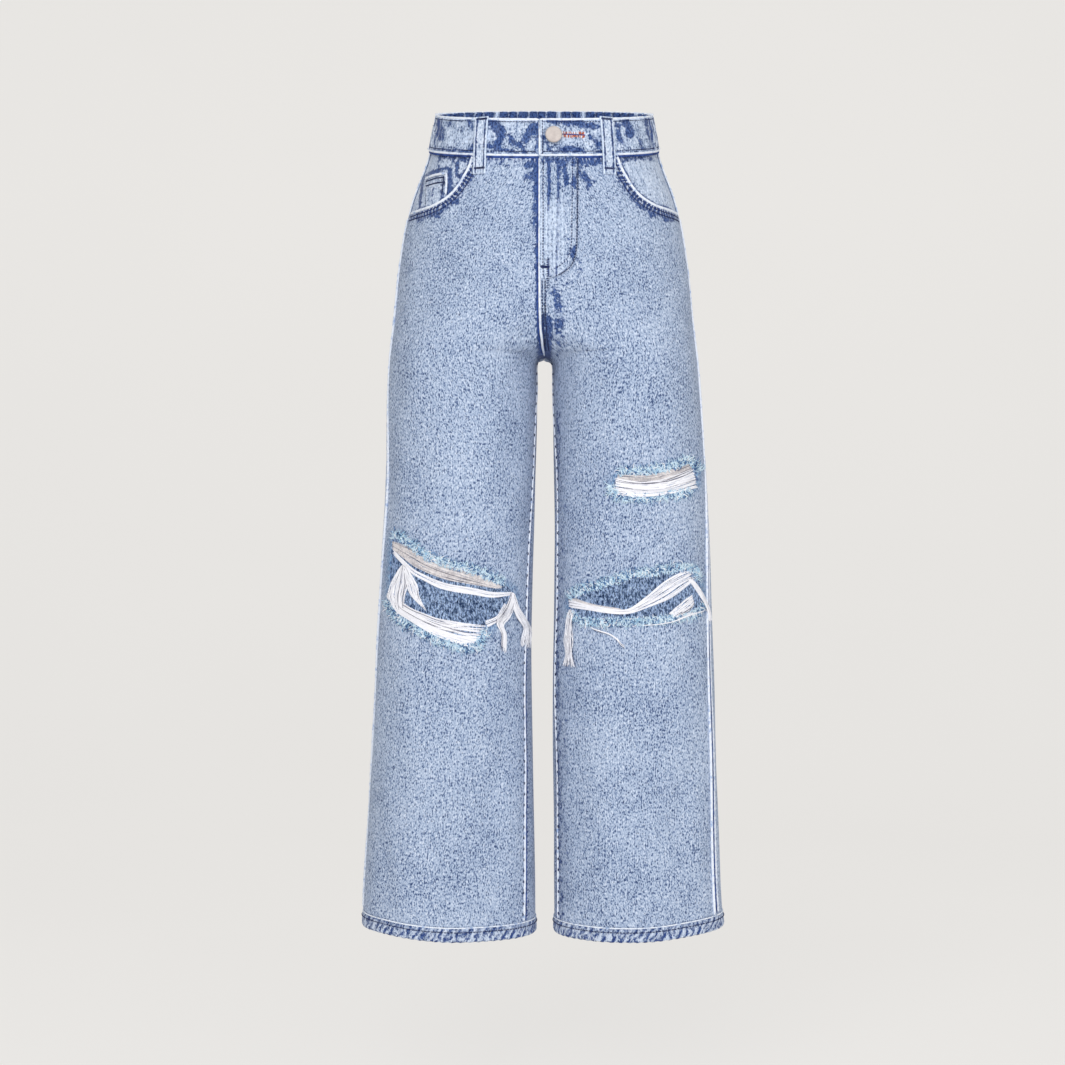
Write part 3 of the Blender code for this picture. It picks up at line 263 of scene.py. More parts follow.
# ---------------------------------------------------------------- the worn form
@dataclass(frozen=True)
class Form:
    """The filled-out shape of the jeans: a rounded section of each leg or half at each height."""

    tilt: float = 0.27
    wobble: float = 0.45
    lens_height: float = -427.0
    lens_across: float = -12.8
    lens_away: float = 2000.0
    pixel: float = 1.07
    photo_middle: float = 532.5
    crotch_round: float = 12.0
    merge_height: float = 96.0
    fold_fade: float = 90.0

    def column(self, table: Array, index: int, height: Number) -> Array:
        """A column of a table at heights, on a smooth curve through its rows."""
        rows, values = table[:, 0], table[:, index]
        last = len(rows) - 1
        level = np.clip(height, rows[-1], rows[0])
        low = np.clip(np.searchsorted(-rows, -level, side="right") - 1, 0, last - 1)
        order = np.arange(last + 1)
        before, after = np.maximum(0, order - 1), np.minimum(last, order + 1)
        slopes = (values[after] - values[before]) / (rows[after] - rows[before])
        span = rows[low + 1] - rows[low]
        s = (level - rows[low]) / span
        return (values[low] * (2 * s**3 - 3 * s**2 + 1) + slopes[low] * span * (s**3 - 2 * s**2 + s)
                + values[low + 1] * (3 * s**2 - 2 * s**3) + slopes[low + 1] * span * (s**3 - s**2))

    def ring(self, side: Number, height: Number) -> tuple[Array, ...]:
        """Centre, reach, front, back, middle and squareness of a half's section."""
        side, height = np.broadcast_arrays(np.asarray(side, float), np.asarray(height, float))
        out = np.where(side > 0, self.column(SECTIONS, 2, height), self.column(SECTIONS, 1, height))
        gap = np.where(side > 0, self.column(SECTIONS, 4, height), self.column(SECTIONS, 3, height))
        below = CROTCH - height
        parted = np.clip(below / self.crotch_round, 0.0, 1.0)
        gap = gap * np.sqrt(1 - (1 - parted) ** 2)
        rise = np.clip(-below / self.merge_height, 0.0, 1.0)
        centre = (1 - rise) ** 1.5 * (out + gap) / 2
        rest = [self.column(SECTIONS, i, height) for i in (5, 6, 7, 8)]
        return (centre, out - centre, *rest)

    def folds(self, side: Number, height: Number, angle: Number) -> Array:
        """How far the solids' folds move the cloth out."""
        out = np.zeros(np.broadcast(side, height, angle).shape)
        for which, middle, top, bottom, width, depth in FOLDS:
            across = (angle - middle) / width
            ends = smooth(height, top, top - self.fold_fade)
            ends = ends * (1 - smooth(height, bottom + self.fold_fade, bottom))
            shape = depth * ends * bell(across, 1.0)
            out = out + np.where((side == which) & (np.abs(across) < 3), shape, 0.0)
        return out

    def point(self, side: Number, height: Number, angle: Number) -> Array:
        """Points of the cloth's outer face: angle 0 is the outer side, 90 the front."""
        side, height, angle = (np.asarray(v, float) for v in (side, height, angle))
        centre, reach, front, back, middle, square = self.ring(side, height)
        c, s = np.cos(np.radians(angle)), np.sin(np.radians(angle))
        depth = np.where(s > 0, front, back)
        fold = self.folds(side, height, angle)
        power = 2 / square
        x = centre + (reach + fold) * np.sign(c) * np.abs(c) ** power
        y = middle - (depth + fold) * np.sign(s) * np.abs(s) ** power
        tilt = self.tilt * smooth(height, -215.0, -20.0)
        low = 1 - smooth(height, HEM_BOTTOM, HEM_BOTTOM + 200.0)
        z = height + tilt * y + 7.0 * low * smooth(np.abs(x), 90.0, 195.0)
        x, y, z = np.broadcast_arrays(side * x, y, z)
        return np.stack([x, y, z], axis=-1)

    def normal(self, side: Number, height: Number, angle: Number) -> Array:
        """The outward directions of the cloth."""
        side, height, angle = (np.asarray(v, float) for v in (side, height, angle))
        across = self.point(side, height, angle + 0.8) - self.point(side, height, angle - 0.8)
        up = self.point(side, height + 1, angle) - self.point(side, height - 1, angle)
        return unit(np.cross(up, across) * side[..., None])

    def relief(self, side: Number, height: Number, angle: Number) -> Array:
        """How far the softer creases and the unevenness of worn cloth move it out."""
        given = (np.asarray(value, float) for value in (side, height, angle))
        side, height, angle = np.broadcast_arrays(*given)
        arc = 1.65
        out = np.zeros(side.shape)
        for which, a0, h0, a1, h1, width, depth in CREASES:
            way = np.array([(a1 - a0) * arc, h1 - h0])
            span = np.hypot(*way)
            dx, dz = (angle - a0) * arc, height - h0
            share = (dx * way[0] + dz * way[1]) / span**2
            held = np.clip(share, 0.0, 1.0)
            far = np.hypot(dx - held * way[0], dz - held * way[1])
            bow = 1 + 0.25 * np.sin(share * 7.0 + a0)
            ends = smooth(share, -0.15, 0.25) * (1 - smooth(share, 0.7, 1.15))
            shape = depth * ends * bell(far, width * bow)
            out = out + np.where(side == which, shape, 0.0)
        ripple = (np.sin(angle * 0.11 + height * 0.013 + side)
                  * np.sin(height * 0.027 + angle * 0.045)
                  + 0.6 * np.sin(angle * 0.19 - height * 0.021 + 2.1 * side))
        calm = smooth(height, -30.0, -110.0) * smooth(height, -845.0, -780.0)
        return out + self.wobble * ripple * calm

    def lifted(self, at: tuple, lift: Number, creased: bool = True) -> tuple[Array, Array]:
        """Points that stand off the cloth at side, height and angle, and the directions outwards."""
        normal = self.normal(*at)
        rise = lift + self.relief(*at) if creased else lift
        return self.point(*at) + normal * rise[..., None], normal

    def across(self, side: Number, height: Number, x: Number) -> Array:
        """The angle, 0 to 180, where a half's section is at a distance from the centre plane."""
        centre, reach, *_, square = self.ring(side, height)
        share = np.clip((x - centre) / reach, -1.0, 1.0)
        return np.degrees(np.arccos(np.sign(share) * np.abs(share) ** (square / 2)))

    def edge(self, side: int, height: Number, margin: float) -> Array:
        """The angle where the ring reaches the centre plane; 180 below the crotch."""
        return np.where(np.asarray(height) <= CROTCH, 180.0, self.across(side, height, margin))

    def seam(self, side: int, height: Number, inner: bool) -> Array:
        """The angle of a leg's outer or inner seam."""
        index = (2 if side > 0 else 1) + (2 if inner else 0)
        offset = self.column(SEAMS, index, height)
        return 180.0 - offset if inner else offset

    def spread(self, side: int, height: Array, start: Array, end: Array, shares: Array) -> Array:
        """Angles that part each height's ring between two angles into lengths of cloth.

        Args:
            side: 1 for the wearer's left, -1 for the right.
            height: One height a row.
            start: The angle of share 0 at each height.
            end: The angle of share 1 at each height.
            shares: The wanted shares of the length, the same at each height.

        Returns:
            An angle for each height and share.
        """
        fine = np.linspace(0.0, 1.0, 97)
        angles = start[:, None] + (end - start)[:, None] * fine
        points = self.point(side, height[:, None], angles)
        steps = np.linalg.norm(np.diff(points, axis=1), axis=2)
        sums = np.concatenate([np.zeros((len(height), 1)), np.cumsum(steps, axis=1)], axis=1)
        return np.stack([np.interp(shares * s[-1], s, a) for s, a in zip(sums, angles)])

    def find(self, view: View, x: Number, z: Number) -> tuple[Array, Array, Array]:
        """Side, height and angle of the cloth at places seen from the front or back."""
        x, z = np.broadcast_arrays(np.asarray(x, float), np.asarray(z, float))
        side = np.where(x >= 0, 1.0, -1.0)
        level = z.copy()
        for _ in range(9):
            angle = view.value * self.across(side, level, np.abs(x))
            level = level + z - self.point(side, level, angle)[..., 2]
        return side, level, angle

    def seen(self, places: Places) -> Array:
        """Front-view places, across and height, of points given in the photograph's pixels."""
        across, down = (np.asarray(places, float) - self.photo_middle).T
        scale = np.full(len(across), self.pixel * 0.96)
        for _ in range(4):
            x, z = self.lens_across + across * scale, self.lens_height - down * scale
            y = self.point(*self.find(FRONT, x, z))[..., 1]
            scale = self.pixel * (self.lens_away + y) / self.lens_away
        return np.stack([x, z], axis=1)


FORM = Form()


@dataclass
class Line:
    """A line on the cloth, as the side, height and angle of each of its points."""

    side: Array
    height: Array
    angle: Array

    @classmethod
    def on(cls, view: View, places: Places, pitch: float = 2.0) -> "Line":
        """A smooth line through front- or back-view places."""
        curve = curve_through(places, 12)
        lengths = lengths_along(curve)
        wanted = np.linspace(0, lengths[-1], max(3, int(lengths[-1] / pitch) + 1))
        return cls(*FORM.find(view, *read_rows(wanted, lengths, curve).T))

    @classmethod
    def at(cls, side: int, height: Number, angle: Array) -> "Line":
        """A line on one side through heights and angles."""
        return cls(np.full(len(angle), float(side)), height + np.zeros(len(angle)), angle)

    @classmethod
    def down(cls, side: int, top: float, bottom: float, inner: bool) -> "Line":
        """A line down a leg's outer or inner seam."""
        height = np.linspace(top, bottom, max(3, int(abs(top - bottom) / 3.0) + 1))
        return cls.at(side, height, FORM.seam(side, height, inner))

    def frame(self, lift: Number = 0.0, aside: float = 0.0) -> tuple[Array, Array, Array]:
        """Points, outward directions and sideways directions along the line.

        Args:
            lift: How far outside the cloth the line runs.
            aside: How far to the right of its run it is moved, seen from outside.

        Returns:
            Three arrays of vectors, one a point.
        """
        points, normal = FORM.lifted((self.side, self.height, self.angle), lift)
        ahead = unit(np.gradient(points, axis=0))
        across = unit(np.cross(ahead, normal))
        return points + across * aside, normal, across


# ---------------------------------------------------------------- shader nodes
def tone(red: float, green: float, blue: float) -> tuple[float, float, float, float]:
    """A linear colour from the 0 to 255 values of a picture."""
    def linear(value: float) -> float:
        share = value / 255.0
        return share / 12.92 if share <= 0.04045 else ((share + 0.055) / 1.055) ** 2.4

    return linear(red), linear(green), linear(blue), 1.0


Socket = bpy.types.NodeSocket


@dataclass
class Wiring:
    """Short ways to add nodes to one tree and join them."""

    tree: bpy.types.NodeTree

    def put(self, socket: Socket, value: object) -> None:
        """Give a socket a link or a plain value."""
        if isinstance(value, bpy.types.NodeSocket):
            self.tree.links.new(value, socket)
        else:
            socket.default_value = value

    def node(self, kind: str, settings: Optional[dict] = None, **inputs: object) -> bpy.types.Node:
        """A new node with settings, and inputs by name (underscores stand for spaces)."""
        made = self.tree.nodes.new(kind)
        for name, value in (settings or {}).items():
            setattr(made, name, value)
        for name, value in inputs.items():
            self.put(made.inputs[name.replace("_", " ")], value)
        return made

    def calc(self, operation: str, *values: object) -> Socket:
        """The result of a Math node."""
        made = self.node("ShaderNodeMath", {"operation": operation})
        for socket, value in zip(made.inputs, values):
            self.put(socket, value)
        return made.outputs[0]

    def stretch(self, vector: Socket, x: float, y: float, z: float = 1.0) -> Socket:
        """A vector multiplied along its axes."""
        made = self.node("ShaderNodeVectorMath", {"operation": "MULTIPLY"})
        self.put(made.inputs[0], vector)
        self.put(made.inputs[1], (x, y, z))
        return made.outputs[0]

    def noise(self, vector: Socket, scale: float, detail: float = 2.0, rough: float = 0.5,
              twist: float = 0.0) -> Socket:
        """Soft noise from 0 to 1."""
        made = self.node("ShaderNodeTexNoise", None, Vector=vector, Scale=scale, Detail=detail,
                         Roughness=rough, Distortion=twist)
        return made.outputs["Fac"]

    def remap(self, value: Socket, low: object, high: object, to_low: float = 0.0,
              to_high: float = 1.0, soft: bool = True) -> Socket:
        """A value brought from one range to another and held there."""
        shape = "SMOOTHSTEP" if soft else "LINEAR"
        made = self.node("ShaderNodeMapRange", {"interpolation_type": shape})
        for name, given in (("Value", value), ("From Min", low), ("From Max", high),
                            ("To Min", to_low), ("To Max", to_high)):
            self.put(made.inputs[name], given)
        return made.outputs[0]

    def mix(self, share: object, first: object, second: object, blend: str = "MIX") -> Socket:
        """Two colours mixed."""
        made = self.node("ShaderNodeMix", {"data_type": "RGBA", "blend_type": blend})
        for index, value in ((0, share), (6, first), (7, second)):
            self.put(made.inputs[index], value)
        return made.outputs[2]

    def ramp(self, value: Socket, stops: Sequence[tuple[float, tuple]]) -> Socket:
        """A colour read off a row of stops."""
        made = self.node("ShaderNodeValToRGB", None, Fac=value)
        band = made.color_ramp
        while len(band.elements) < len(stops):
            band.elements.new(0.5)
        for element, (place, colour) in zip(band.elements, stops):
            element.position, element.color = place, colour
        return made.outputs["Color"]

    def field(self, name: str) -> Socket:
        """A number painted on the mesh."""
        return self.node("ShaderNodeAttribute", {"attribute_name": name}).outputs["Fac"]

    def place(self) -> Socket:
        """The object's own coordinates."""
        return self.node("ShaderNodeTexCoord").outputs["Object"]

    def dress(self, shader: bpy.types.Node, **inputs: object) -> None:
        """Feed a shader's inputs by name."""
        for name, value in inputs.items():
            self.put(shader.inputs[name.replace("_", " ")], value)

    def bump(self, height: Socket, strength: float, distance: float) -> Socket:
        """The normal of a relief, its distance in metres."""
        made = self.node("ShaderNodeBump", None, Height=height, Strength=strength, Distance=distance)
        return made.outputs["Normal"]


Sockets = dict[str, Socket]


def new_group(name: str, inputs: Sequence[tuple[str, str, object]],
              outputs: Sequence[tuple[str, str]]) -> tuple[Wiring, Sockets, Sockets]:
    """A shader node group with named sockets.

    Args:
        name: The group's name.
        inputs: Name, kind (Float, Color or Vector) and default of each input.
        outputs: Name and kind of each output.

    Returns:
        The wiring of its tree, its inputs as seen inside, and its outputs to feed.
    """
    tree = bpy.data.node_groups.new(name, "ShaderNodeTree")
    for title, kind, default in inputs:
        socket = tree.interface.new_socket(title, in_out="INPUT", socket_type=f"NodeSocket{kind}")
        if default is not None:
            socket.default_value = default
    for title, kind in outputs:
        tree.interface.new_socket(title, in_out="OUTPUT", socket_type=f"NodeSocket{kind}")
    wiring = Wiring(tree)
    start, end = tree.nodes.new("NodeGroupInput"), tree.nodes.new("NodeGroupOutput")
    got, give = ({s.name: s for s in row if s.name} for row in (start.outputs, end.inputs))
    return wiring, got, give


def washed_denim_group() -> bpy.types.NodeTree:
    """Stone-washed denim: salt-and-pepper speckle, slubs, indigo patches, worn edges, puckers, painted
    fibres and shade round rips, painted shade on the inside face.
    """
    w, got, give = new_group(
        "washed_denim",
        [("Cloth", "Vector", None), ("Shade", "Float", 0.0), ("Wear", "Float", 0.0),
         ("Along", "Float", 0.0), ("Away", "Float", FAR_OFF), ("Fray", "Float", 0.0),
         ("Pitch", "Float", 7.0), ("Bleach", "Float", 0.0), ("Deep", "Float", 0.0),
         ("Mottle", "Float", 0.0)],
        [("Colour", "Color"), ("Height", "Float")],
    )
    cloth = w.stretch(got["Cloth"], 1000.0, 1000.0)
    fine = w.noise(w.stretch(cloth, 1.0, 0.50), 0.80, 1.0, 0.5, 0.5)
    worm = w.noise(w.stretch(cloth, 1.0, 0.38), 0.50, 2.0, 0.6, 0.8)
    slub = w.noise(w.stretch(cloth, 1.0, 0.06), 0.75, 2.0, 0.6)
    cloud = w.noise(cloth, 0.016, 3.0, 0.6)
    patch = w.noise(w.stretch(cloth, 1.0, 0.8), 0.12, 3.0, 0.7)
    mottle = w.noise(cloth, 0.30, 2.0, 0.6)
    speck = w.calc("MULTIPLY_ADD", fine, 0.56, w.calc("MULTIPLY", worm, 0.24))
    cloud = w.calc("SUBTRACT", cloud, 0.5)
    for part, share in ((slub, 0.20), (cloud, 0.12), (got["Bleach"], 0.05)):
        speck = w.calc("MULTIPLY_ADD", part, share, speck)
    blotch = w.noise(w.stretch(cloth, 1.0, 0.4), 0.18, 3.0, 0.6)
    blotch = w.calc("MULTIPLY", w.calc("SUBTRACT", blotch, 0.5), got["Mottle"])
    speck = w.calc("MULTIPLY_ADD", blotch, 1.3, speck)
    speck = w.remap(speck, 0.372, 0.632, soft=False)
    colour = w.ramp(speck, [
        (0.0, tone(46, 64, 104)), (0.22, tone(94, 114, 152)), (0.40, tone(156, 173, 201)),
        (0.66, tone(176, 191, 214)), (0.86, tone(193, 205, 225)), (1.0, tone(213, 223, 240))])
    dots = w.node("ShaderNodeTexVoronoi", {"feature": "F1"}, Vector=w.stretch(cloth, 1.0, 0.75),
                  Scale=0.31)
    parts = w.node("ShaderNodeSeparateColor", None, Color=dots.outputs["Color"])
    chosen = w.calc("GREATER_THAN", parts.outputs[0], 0.34)
    dot = w.calc("MULTIPLY", w.remap(dots.outputs["Distance"], 0.27, 0.12), chosen)
    colour = w.mix(w.calc("MULTIPLY", dot, 0.72), colour, tone(44, 58, 96))
    shade = w.calc("ADD", w.calc("MULTIPLY", got["Shade"], 1.15),
                   w.calc("MULTIPLY", w.calc("SUBTRACT", patch, 0.5), 1.5))
    shade = w.calc("MULTIPLY_ADD", w.calc("SUBTRACT", mottle, 0.5), 0.8, shade)
    shade = w.calc("MULTIPLY", w.remap(shade, 0.40, 0.66), w.remap(got["Shade"], 0.02, 0.22))
    indigo = w.mix(w.remap(fine, 0.35, 0.65), tone(14, 38, 90), tone(54, 88, 150))
    colour = w.mix(w.calc("MULTIPLY", shade, 0.92), colour, indigo)
    # round rips: painted fibre streaks, their dark tone painted shade between the frays
    fray = w.calc("MULTIPLY", got["Fray"], w.remap(mottle, 0.25, 0.60))
    strands = w.mix(w.remap(w.noise(w.stretch(cloth, 1.0, 0.25), 0.9, 1.0), 0.4, 0.6),
                    tone(48, 80, 132), tone(132, 172, 208))
    colour = w.mix(w.calc("MULTIPLY", fray, 0.85), colour, strands)
    turn = w.calc("ADD", w.calc("DIVIDE", got["Along"], got["Pitch"]),
                  w.calc("MULTIPLY", w.noise(cloth, 0.09, 3.0), 2.6))
    bar = w.calc("MULTIPLY_ADD", w.calc("SINE", w.calc("MULTIPLY", turn, 2 * math.pi)), 0.5, 0.5)
    near = w.calc("MULTIPLY", w.remap(got["Away"], 11.0, 0.5), w.remap(mottle, 0.32, 0.58, 0.25, 1.0))
    for low, high, stain in ((0.34, 0.10, tone(40, 64, 126)), (0.66, 0.95, tone(210, 221, 240))):
        colour = w.mix(w.calc("MULTIPLY", near, w.remap(bar, low, high)), colour, stain)
    worn = w.calc("ADD", got["Wear"], w.calc("MULTIPLY", w.calc("SUBTRACT", mottle, 0.5), 0.7))
    colour = w.mix(w.remap(worn, 0.30, 0.85), colour, tone(216, 230, 250))
    # painted shade: the inside face, seen through rips and the waist, is darkened in streaks for the
    # shade inside the legs
    deep = w.mix(w.remap(worm, 0.40, 0.56), tone(128, 140, 152), tone(240, 244, 243))
    deep = w.mix(1.0, colour, deep, "MULTIPLY")
    w.put(give["Colour"], w.mix(got["Deep"], colour, deep))
    twill = w.node("ShaderNodeTexWave", {"wave_type": "BANDS", "bands_direction": "DIAGONAL"},
                   Vector=cloth, Scale=0.36, Distortion=0.6, Detail=1.0).outputs["Fac"]
    height = w.calc("ADD", w.calc("MULTIPLY", speck, 0.45), w.calc("MULTIPLY", twill, 0.22))
    height = w.calc("ADD", height, w.calc("MULTIPLY", w.calc("MULTIPLY", bar, near), 1.1))
    height = w.calc("SUBTRACT", height, w.calc("MULTIPLY", shade, 0.25))
    w.put(give["Height"], height)
    return w.tree


def cotton_yarn_group() -> bpy.types.NodeTree:
    """Cotton yarn: two tones in fine uneven streaks, with a twist for its height."""
    w, got, give = new_group(
        "cotton_yarn",
        [("Place", "Vector", None), ("Light", "Color", (1, 1, 1, 1)),
         ("Dark", "Color", (0.5, 0.5, 0.5, 1)), ("Scale", "Float", 500.0), ("Share", "Float", 0.5)],
        [("Colour", "Color"), ("Height", "Float")],
    )
    streak = w.node("ShaderNodeTexNoise", None, Vector=got["Place"], Scale=got["Scale"], Detail=2.0,
                    Roughness=0.6).outputs["Fac"]
    patch = w.noise(got["Place"], 90.0, 2.0)
    share = w.remap(w.calc("ADD", w.calc("MULTIPLY", streak, 0.6), w.calc("MULTIPLY", patch, 0.4)),
                    w.calc("ADD", got["Share"], 0.12), w.calc("SUBTRACT", got["Share"], 0.12))
    w.put(give["Colour"], w.mix(share, got["Light"], got["Dark"]))
    w.put(give["Height"], streak)
    return w.tree


def fresh_material(name: str) -> tuple[bpy.types.Material, Wiring, bpy.types.Node]:
    """A node material with its Principled shader."""
    made = bpy.data.materials.new(name)
    made.use_nodes = True
    return made, Wiring(made.node_tree), made.node_tree.nodes["Principled BSDF"]


@dataclass(frozen=True)
class DenimFinish:
    """Washed denim with its own bleaching, pucker pitch, painted shade on the inside face and painted
    light as a glow.
    """

    name: str
    slot: str = "denim"
    bleach: float = 0.0
    # deep: painted shade, the inside face darkened
    deep: float = 0.0
    pitch: float = 7.0
    bump: float = 0.55
    mottle: float = 0.0
    # painted light: the face glows by emission though it is no lamp
    glow: float = 0.0

    def build(self, group: bpy.types.NodeTree) -> bpy.types.Material:
        """The material, fed by the fields painted on the cloth."""
        made, w, shader = fresh_material(self.name)
        cloth = w.node("ShaderNodeUVMap", {"uv_map": "cloth"}).outputs["UV"]
        denim = w.node("ShaderNodeGroup", {"node_tree": group}, Cloth=cloth, Shade=w.field("shade"),
                       Wear=w.field("wear"), Along=w.field("along"), Away=w.field("away"),
                       Fray=w.field("fray"), Pitch=self.pitch, Bleach=self.bleach, Deep=self.deep,
                       Mottle=self.mottle)
        w.dress(shader, Base_Color=denim.outputs["Colour"], Roughness=0.92, Specular_IOR_Level=0.25,
                Normal=w.bump(denim.outputs["Height"], self.bump, 0.0007), Sheen_Weight=0.12,
                Sheen_Roughness=0.5)
        # painted light: emission in the denim's own colour
        if self.glow:
            w.dress(shader, Emission_Color=denim.outputs["Colour"], Emission_Strength=self.glow)
        return made


@dataclass(frozen=True)
class YarnFinish:
    """Cotton yarn or sewing thread in two tones."""

    name: str
    light: tuple[int, int, int]
    dark: tuple[int, int, int]
    slot: str = "yarn"
    scale: float = 500.0
    share: float = 0.5

    def build(self, group: bpy.types.NodeTree) -> bpy.types.Material:
        """The material, read off the object's own coordinates."""
        made, w, shader = fresh_material(self.name)
        yarn = w.node("ShaderNodeGroup", {"node_tree": group}, Place=w.place(), Light=tone(*self.light),
                      Dark=tone(*self.dark), Scale=self.scale, Share=self.share)
        w.dress(shader, Base_Color=yarn.outputs["Colour"], Roughness=0.88, Specular_IOR_Level=0.25,
                Normal=w.bump(yarn.outputs["Height"], 0.4, 0.0004))
        return made


@dataclass(frozen=True)
class ButtonFinish:
    """Matte plated metal of a pale rose tone, faintly brushed and worn."""

    name: str = "button_plate"
    slot: str = "button_metal"

    def build(self) -> bpy.types.Material:
        """The material, brushed across the cap."""
        made, w, shader = fresh_material(self.name)
        place = w.place()
        grain = w.noise(w.stretch(place, 1.0, 1.0, 9.0), 700.0, 3.0, 0.6)
        cloud = w.remap(w.noise(place, 160.0, 2.0), 0.3, 0.7)
        colour = w.mix(cloud, tone(198, 189, 184), tone(182, 172, 168))
        worn = w.calc("MULTIPLY", w.remap(grain, 0.45, 0.75), 0.35)
        w.dress(shader, Base_Color=w.mix(worn, colour, tone(158, 148, 146)), Metallic=0.25,
                Roughness=w.remap(grain, 0.2, 0.8, 0.5, 0.66), Normal=w.bump(grain, 0.15, 0.0002))
        return made


@dataclass
class Finishes:
    """Every material of the jeans."""

    made: dict[str, bpy.types.Material] = field(default_factory=dict)
    slots: dict[str, str] = field(default_factory=dict)

    def build(self) -> "Finishes":
        """Build the shared effects once, then each material."""
        denims = (
            DenimFinish("denim_face", pitch=4.6), DenimFinish("denim_band", pitch=6.5, mottle=0.3),
            DenimFinish("denim_pale", "denim_light", bleach=1.1, mottle=0.3),
            DenimFinish("denim_loop", "denim_light", bleach=1.2, mottle=0.2),
            # the inner face: painted shade from deep, painted light from its glow
            DenimFinish("denim_inside", deep=1.0, bump=0.4, glow=0.62),
            DenimFinish("denim_hem", "denim_deep", pitch=8.6, bump=0.7, mottle=0.4),
            DenimFinish("denim_gathers", pitch=9.0, bump=0.6, mottle=0.4),
        )
        yarns = (
            YarnFinish("yarn_white", (247, 247, 252), (226, 227, 238), share=0.38),
            # painted shade: a darker copy of the white yarn, for yarns that lie low in a rip
            YarnFinish("yarn_grey", (232, 227, 227), (196, 192, 196), share=0.48),
            # painted shadow: dark strands that stand for the shade between bare yarns
            YarnFinish("yarn_shade", (144, 142, 156), (82, 84, 106)),
            YarnFinish("yarn_blue", (220, 238, 249), (152, 194, 224), share=0.46, scale=320.0),
            YarnFinish("yarn_indigo", (112, 152, 196), (48, 78, 130), scale=320.0),
            # dark stitch thread: its dark tone also stands for the shade in the needle holes
            YarnFinish("thread_navy_and_hole_shade", (46, 58, 104), (24, 32, 70), "denim_deep"),
            YarnFinish("thread_rust", (214, 120, 82), (140, 62, 46)),
            YarnFinish("seam_worn", (232, 238, 248), (150, 176, 216), "denim_light", 260.0, 0.40),
            # painted shadow: dark cords in seam ditches, under the waistband's foot, beside the fly
            # edge and in the buttonhole slit
            YarnFinish("seam_valley", (60, 88, 156), (30, 48, 104), "denim_deep", 260.0),
        )
        for finishes, group in ((denims, washed_denim_group()), (yarns, cotton_yarn_group())):
            for finish in finishes:
                self.made[finish.name] = finish.build(group)
                self.slots[finish.name] = finish.slot
        button = ButtonFinish()
        self.made[button.name], self.slots[button.name] = button.build(), button.slot
        return self


# ---------------------------------------------------------------- makers of meshes
def linked(name: str, data: bpy.types.ID) -> Item:
    """An object of some data, in the scene."""
    item = bpy.data.objects.new(name, data)
    bpy.context.scene.collection.objects.link(item)
    return item


def mesh_of(name: str, maker: bmesh.types.BMesh) -> bpy.types.Mesh:
    """A mesh with what was made, which is let go."""
    mesh = bpy.data.meshes.new(name)
    maker.to_mesh(mesh)
    maker.free()
    return mesh


def smoothed(mesh: bpy.types.Mesh) -> bpy.types.Mesh:
    """The mesh, shaded smooth."""
    mesh.polygons.foreach_set("use_smooth", [True] * len(mesh.polygons))
    return mesh


def flat_size(points: Array, keep: Optional[Array] = None) -> tuple[float, float, float]:
    """The width, length and area of a grid of points laid flat."""
    across, down = (np.linalg.norm(np.diff(points, axis=axis), axis=2) for axis in (1, 0))
    slant = points[:-1, 1:] - points[1:, :-1]
    areas = sum(np.linalg.norm(np.cross(side, slant), axis=2) / 2 for side in (
        points[:-1, :-1] - points[1:, :-1], points[1:, 1:] - points[1:, :-1]))
    if keep is not None:
        areas = areas * keep
    return float(across.sum(axis=1).max()), float(down.sum(axis=0).max()), float(areas.sum())


@dataclass
class Paint:
    """The numbers painted on a piece of cloth, one for each point of its grid."""

    shade: Number = 0.0
    wear: Number = 0.0
    along: Number = 0.0
    away: Number = FAR_OFF
    # painted fibres and painted shade round rips
    fray: Number = 0.0


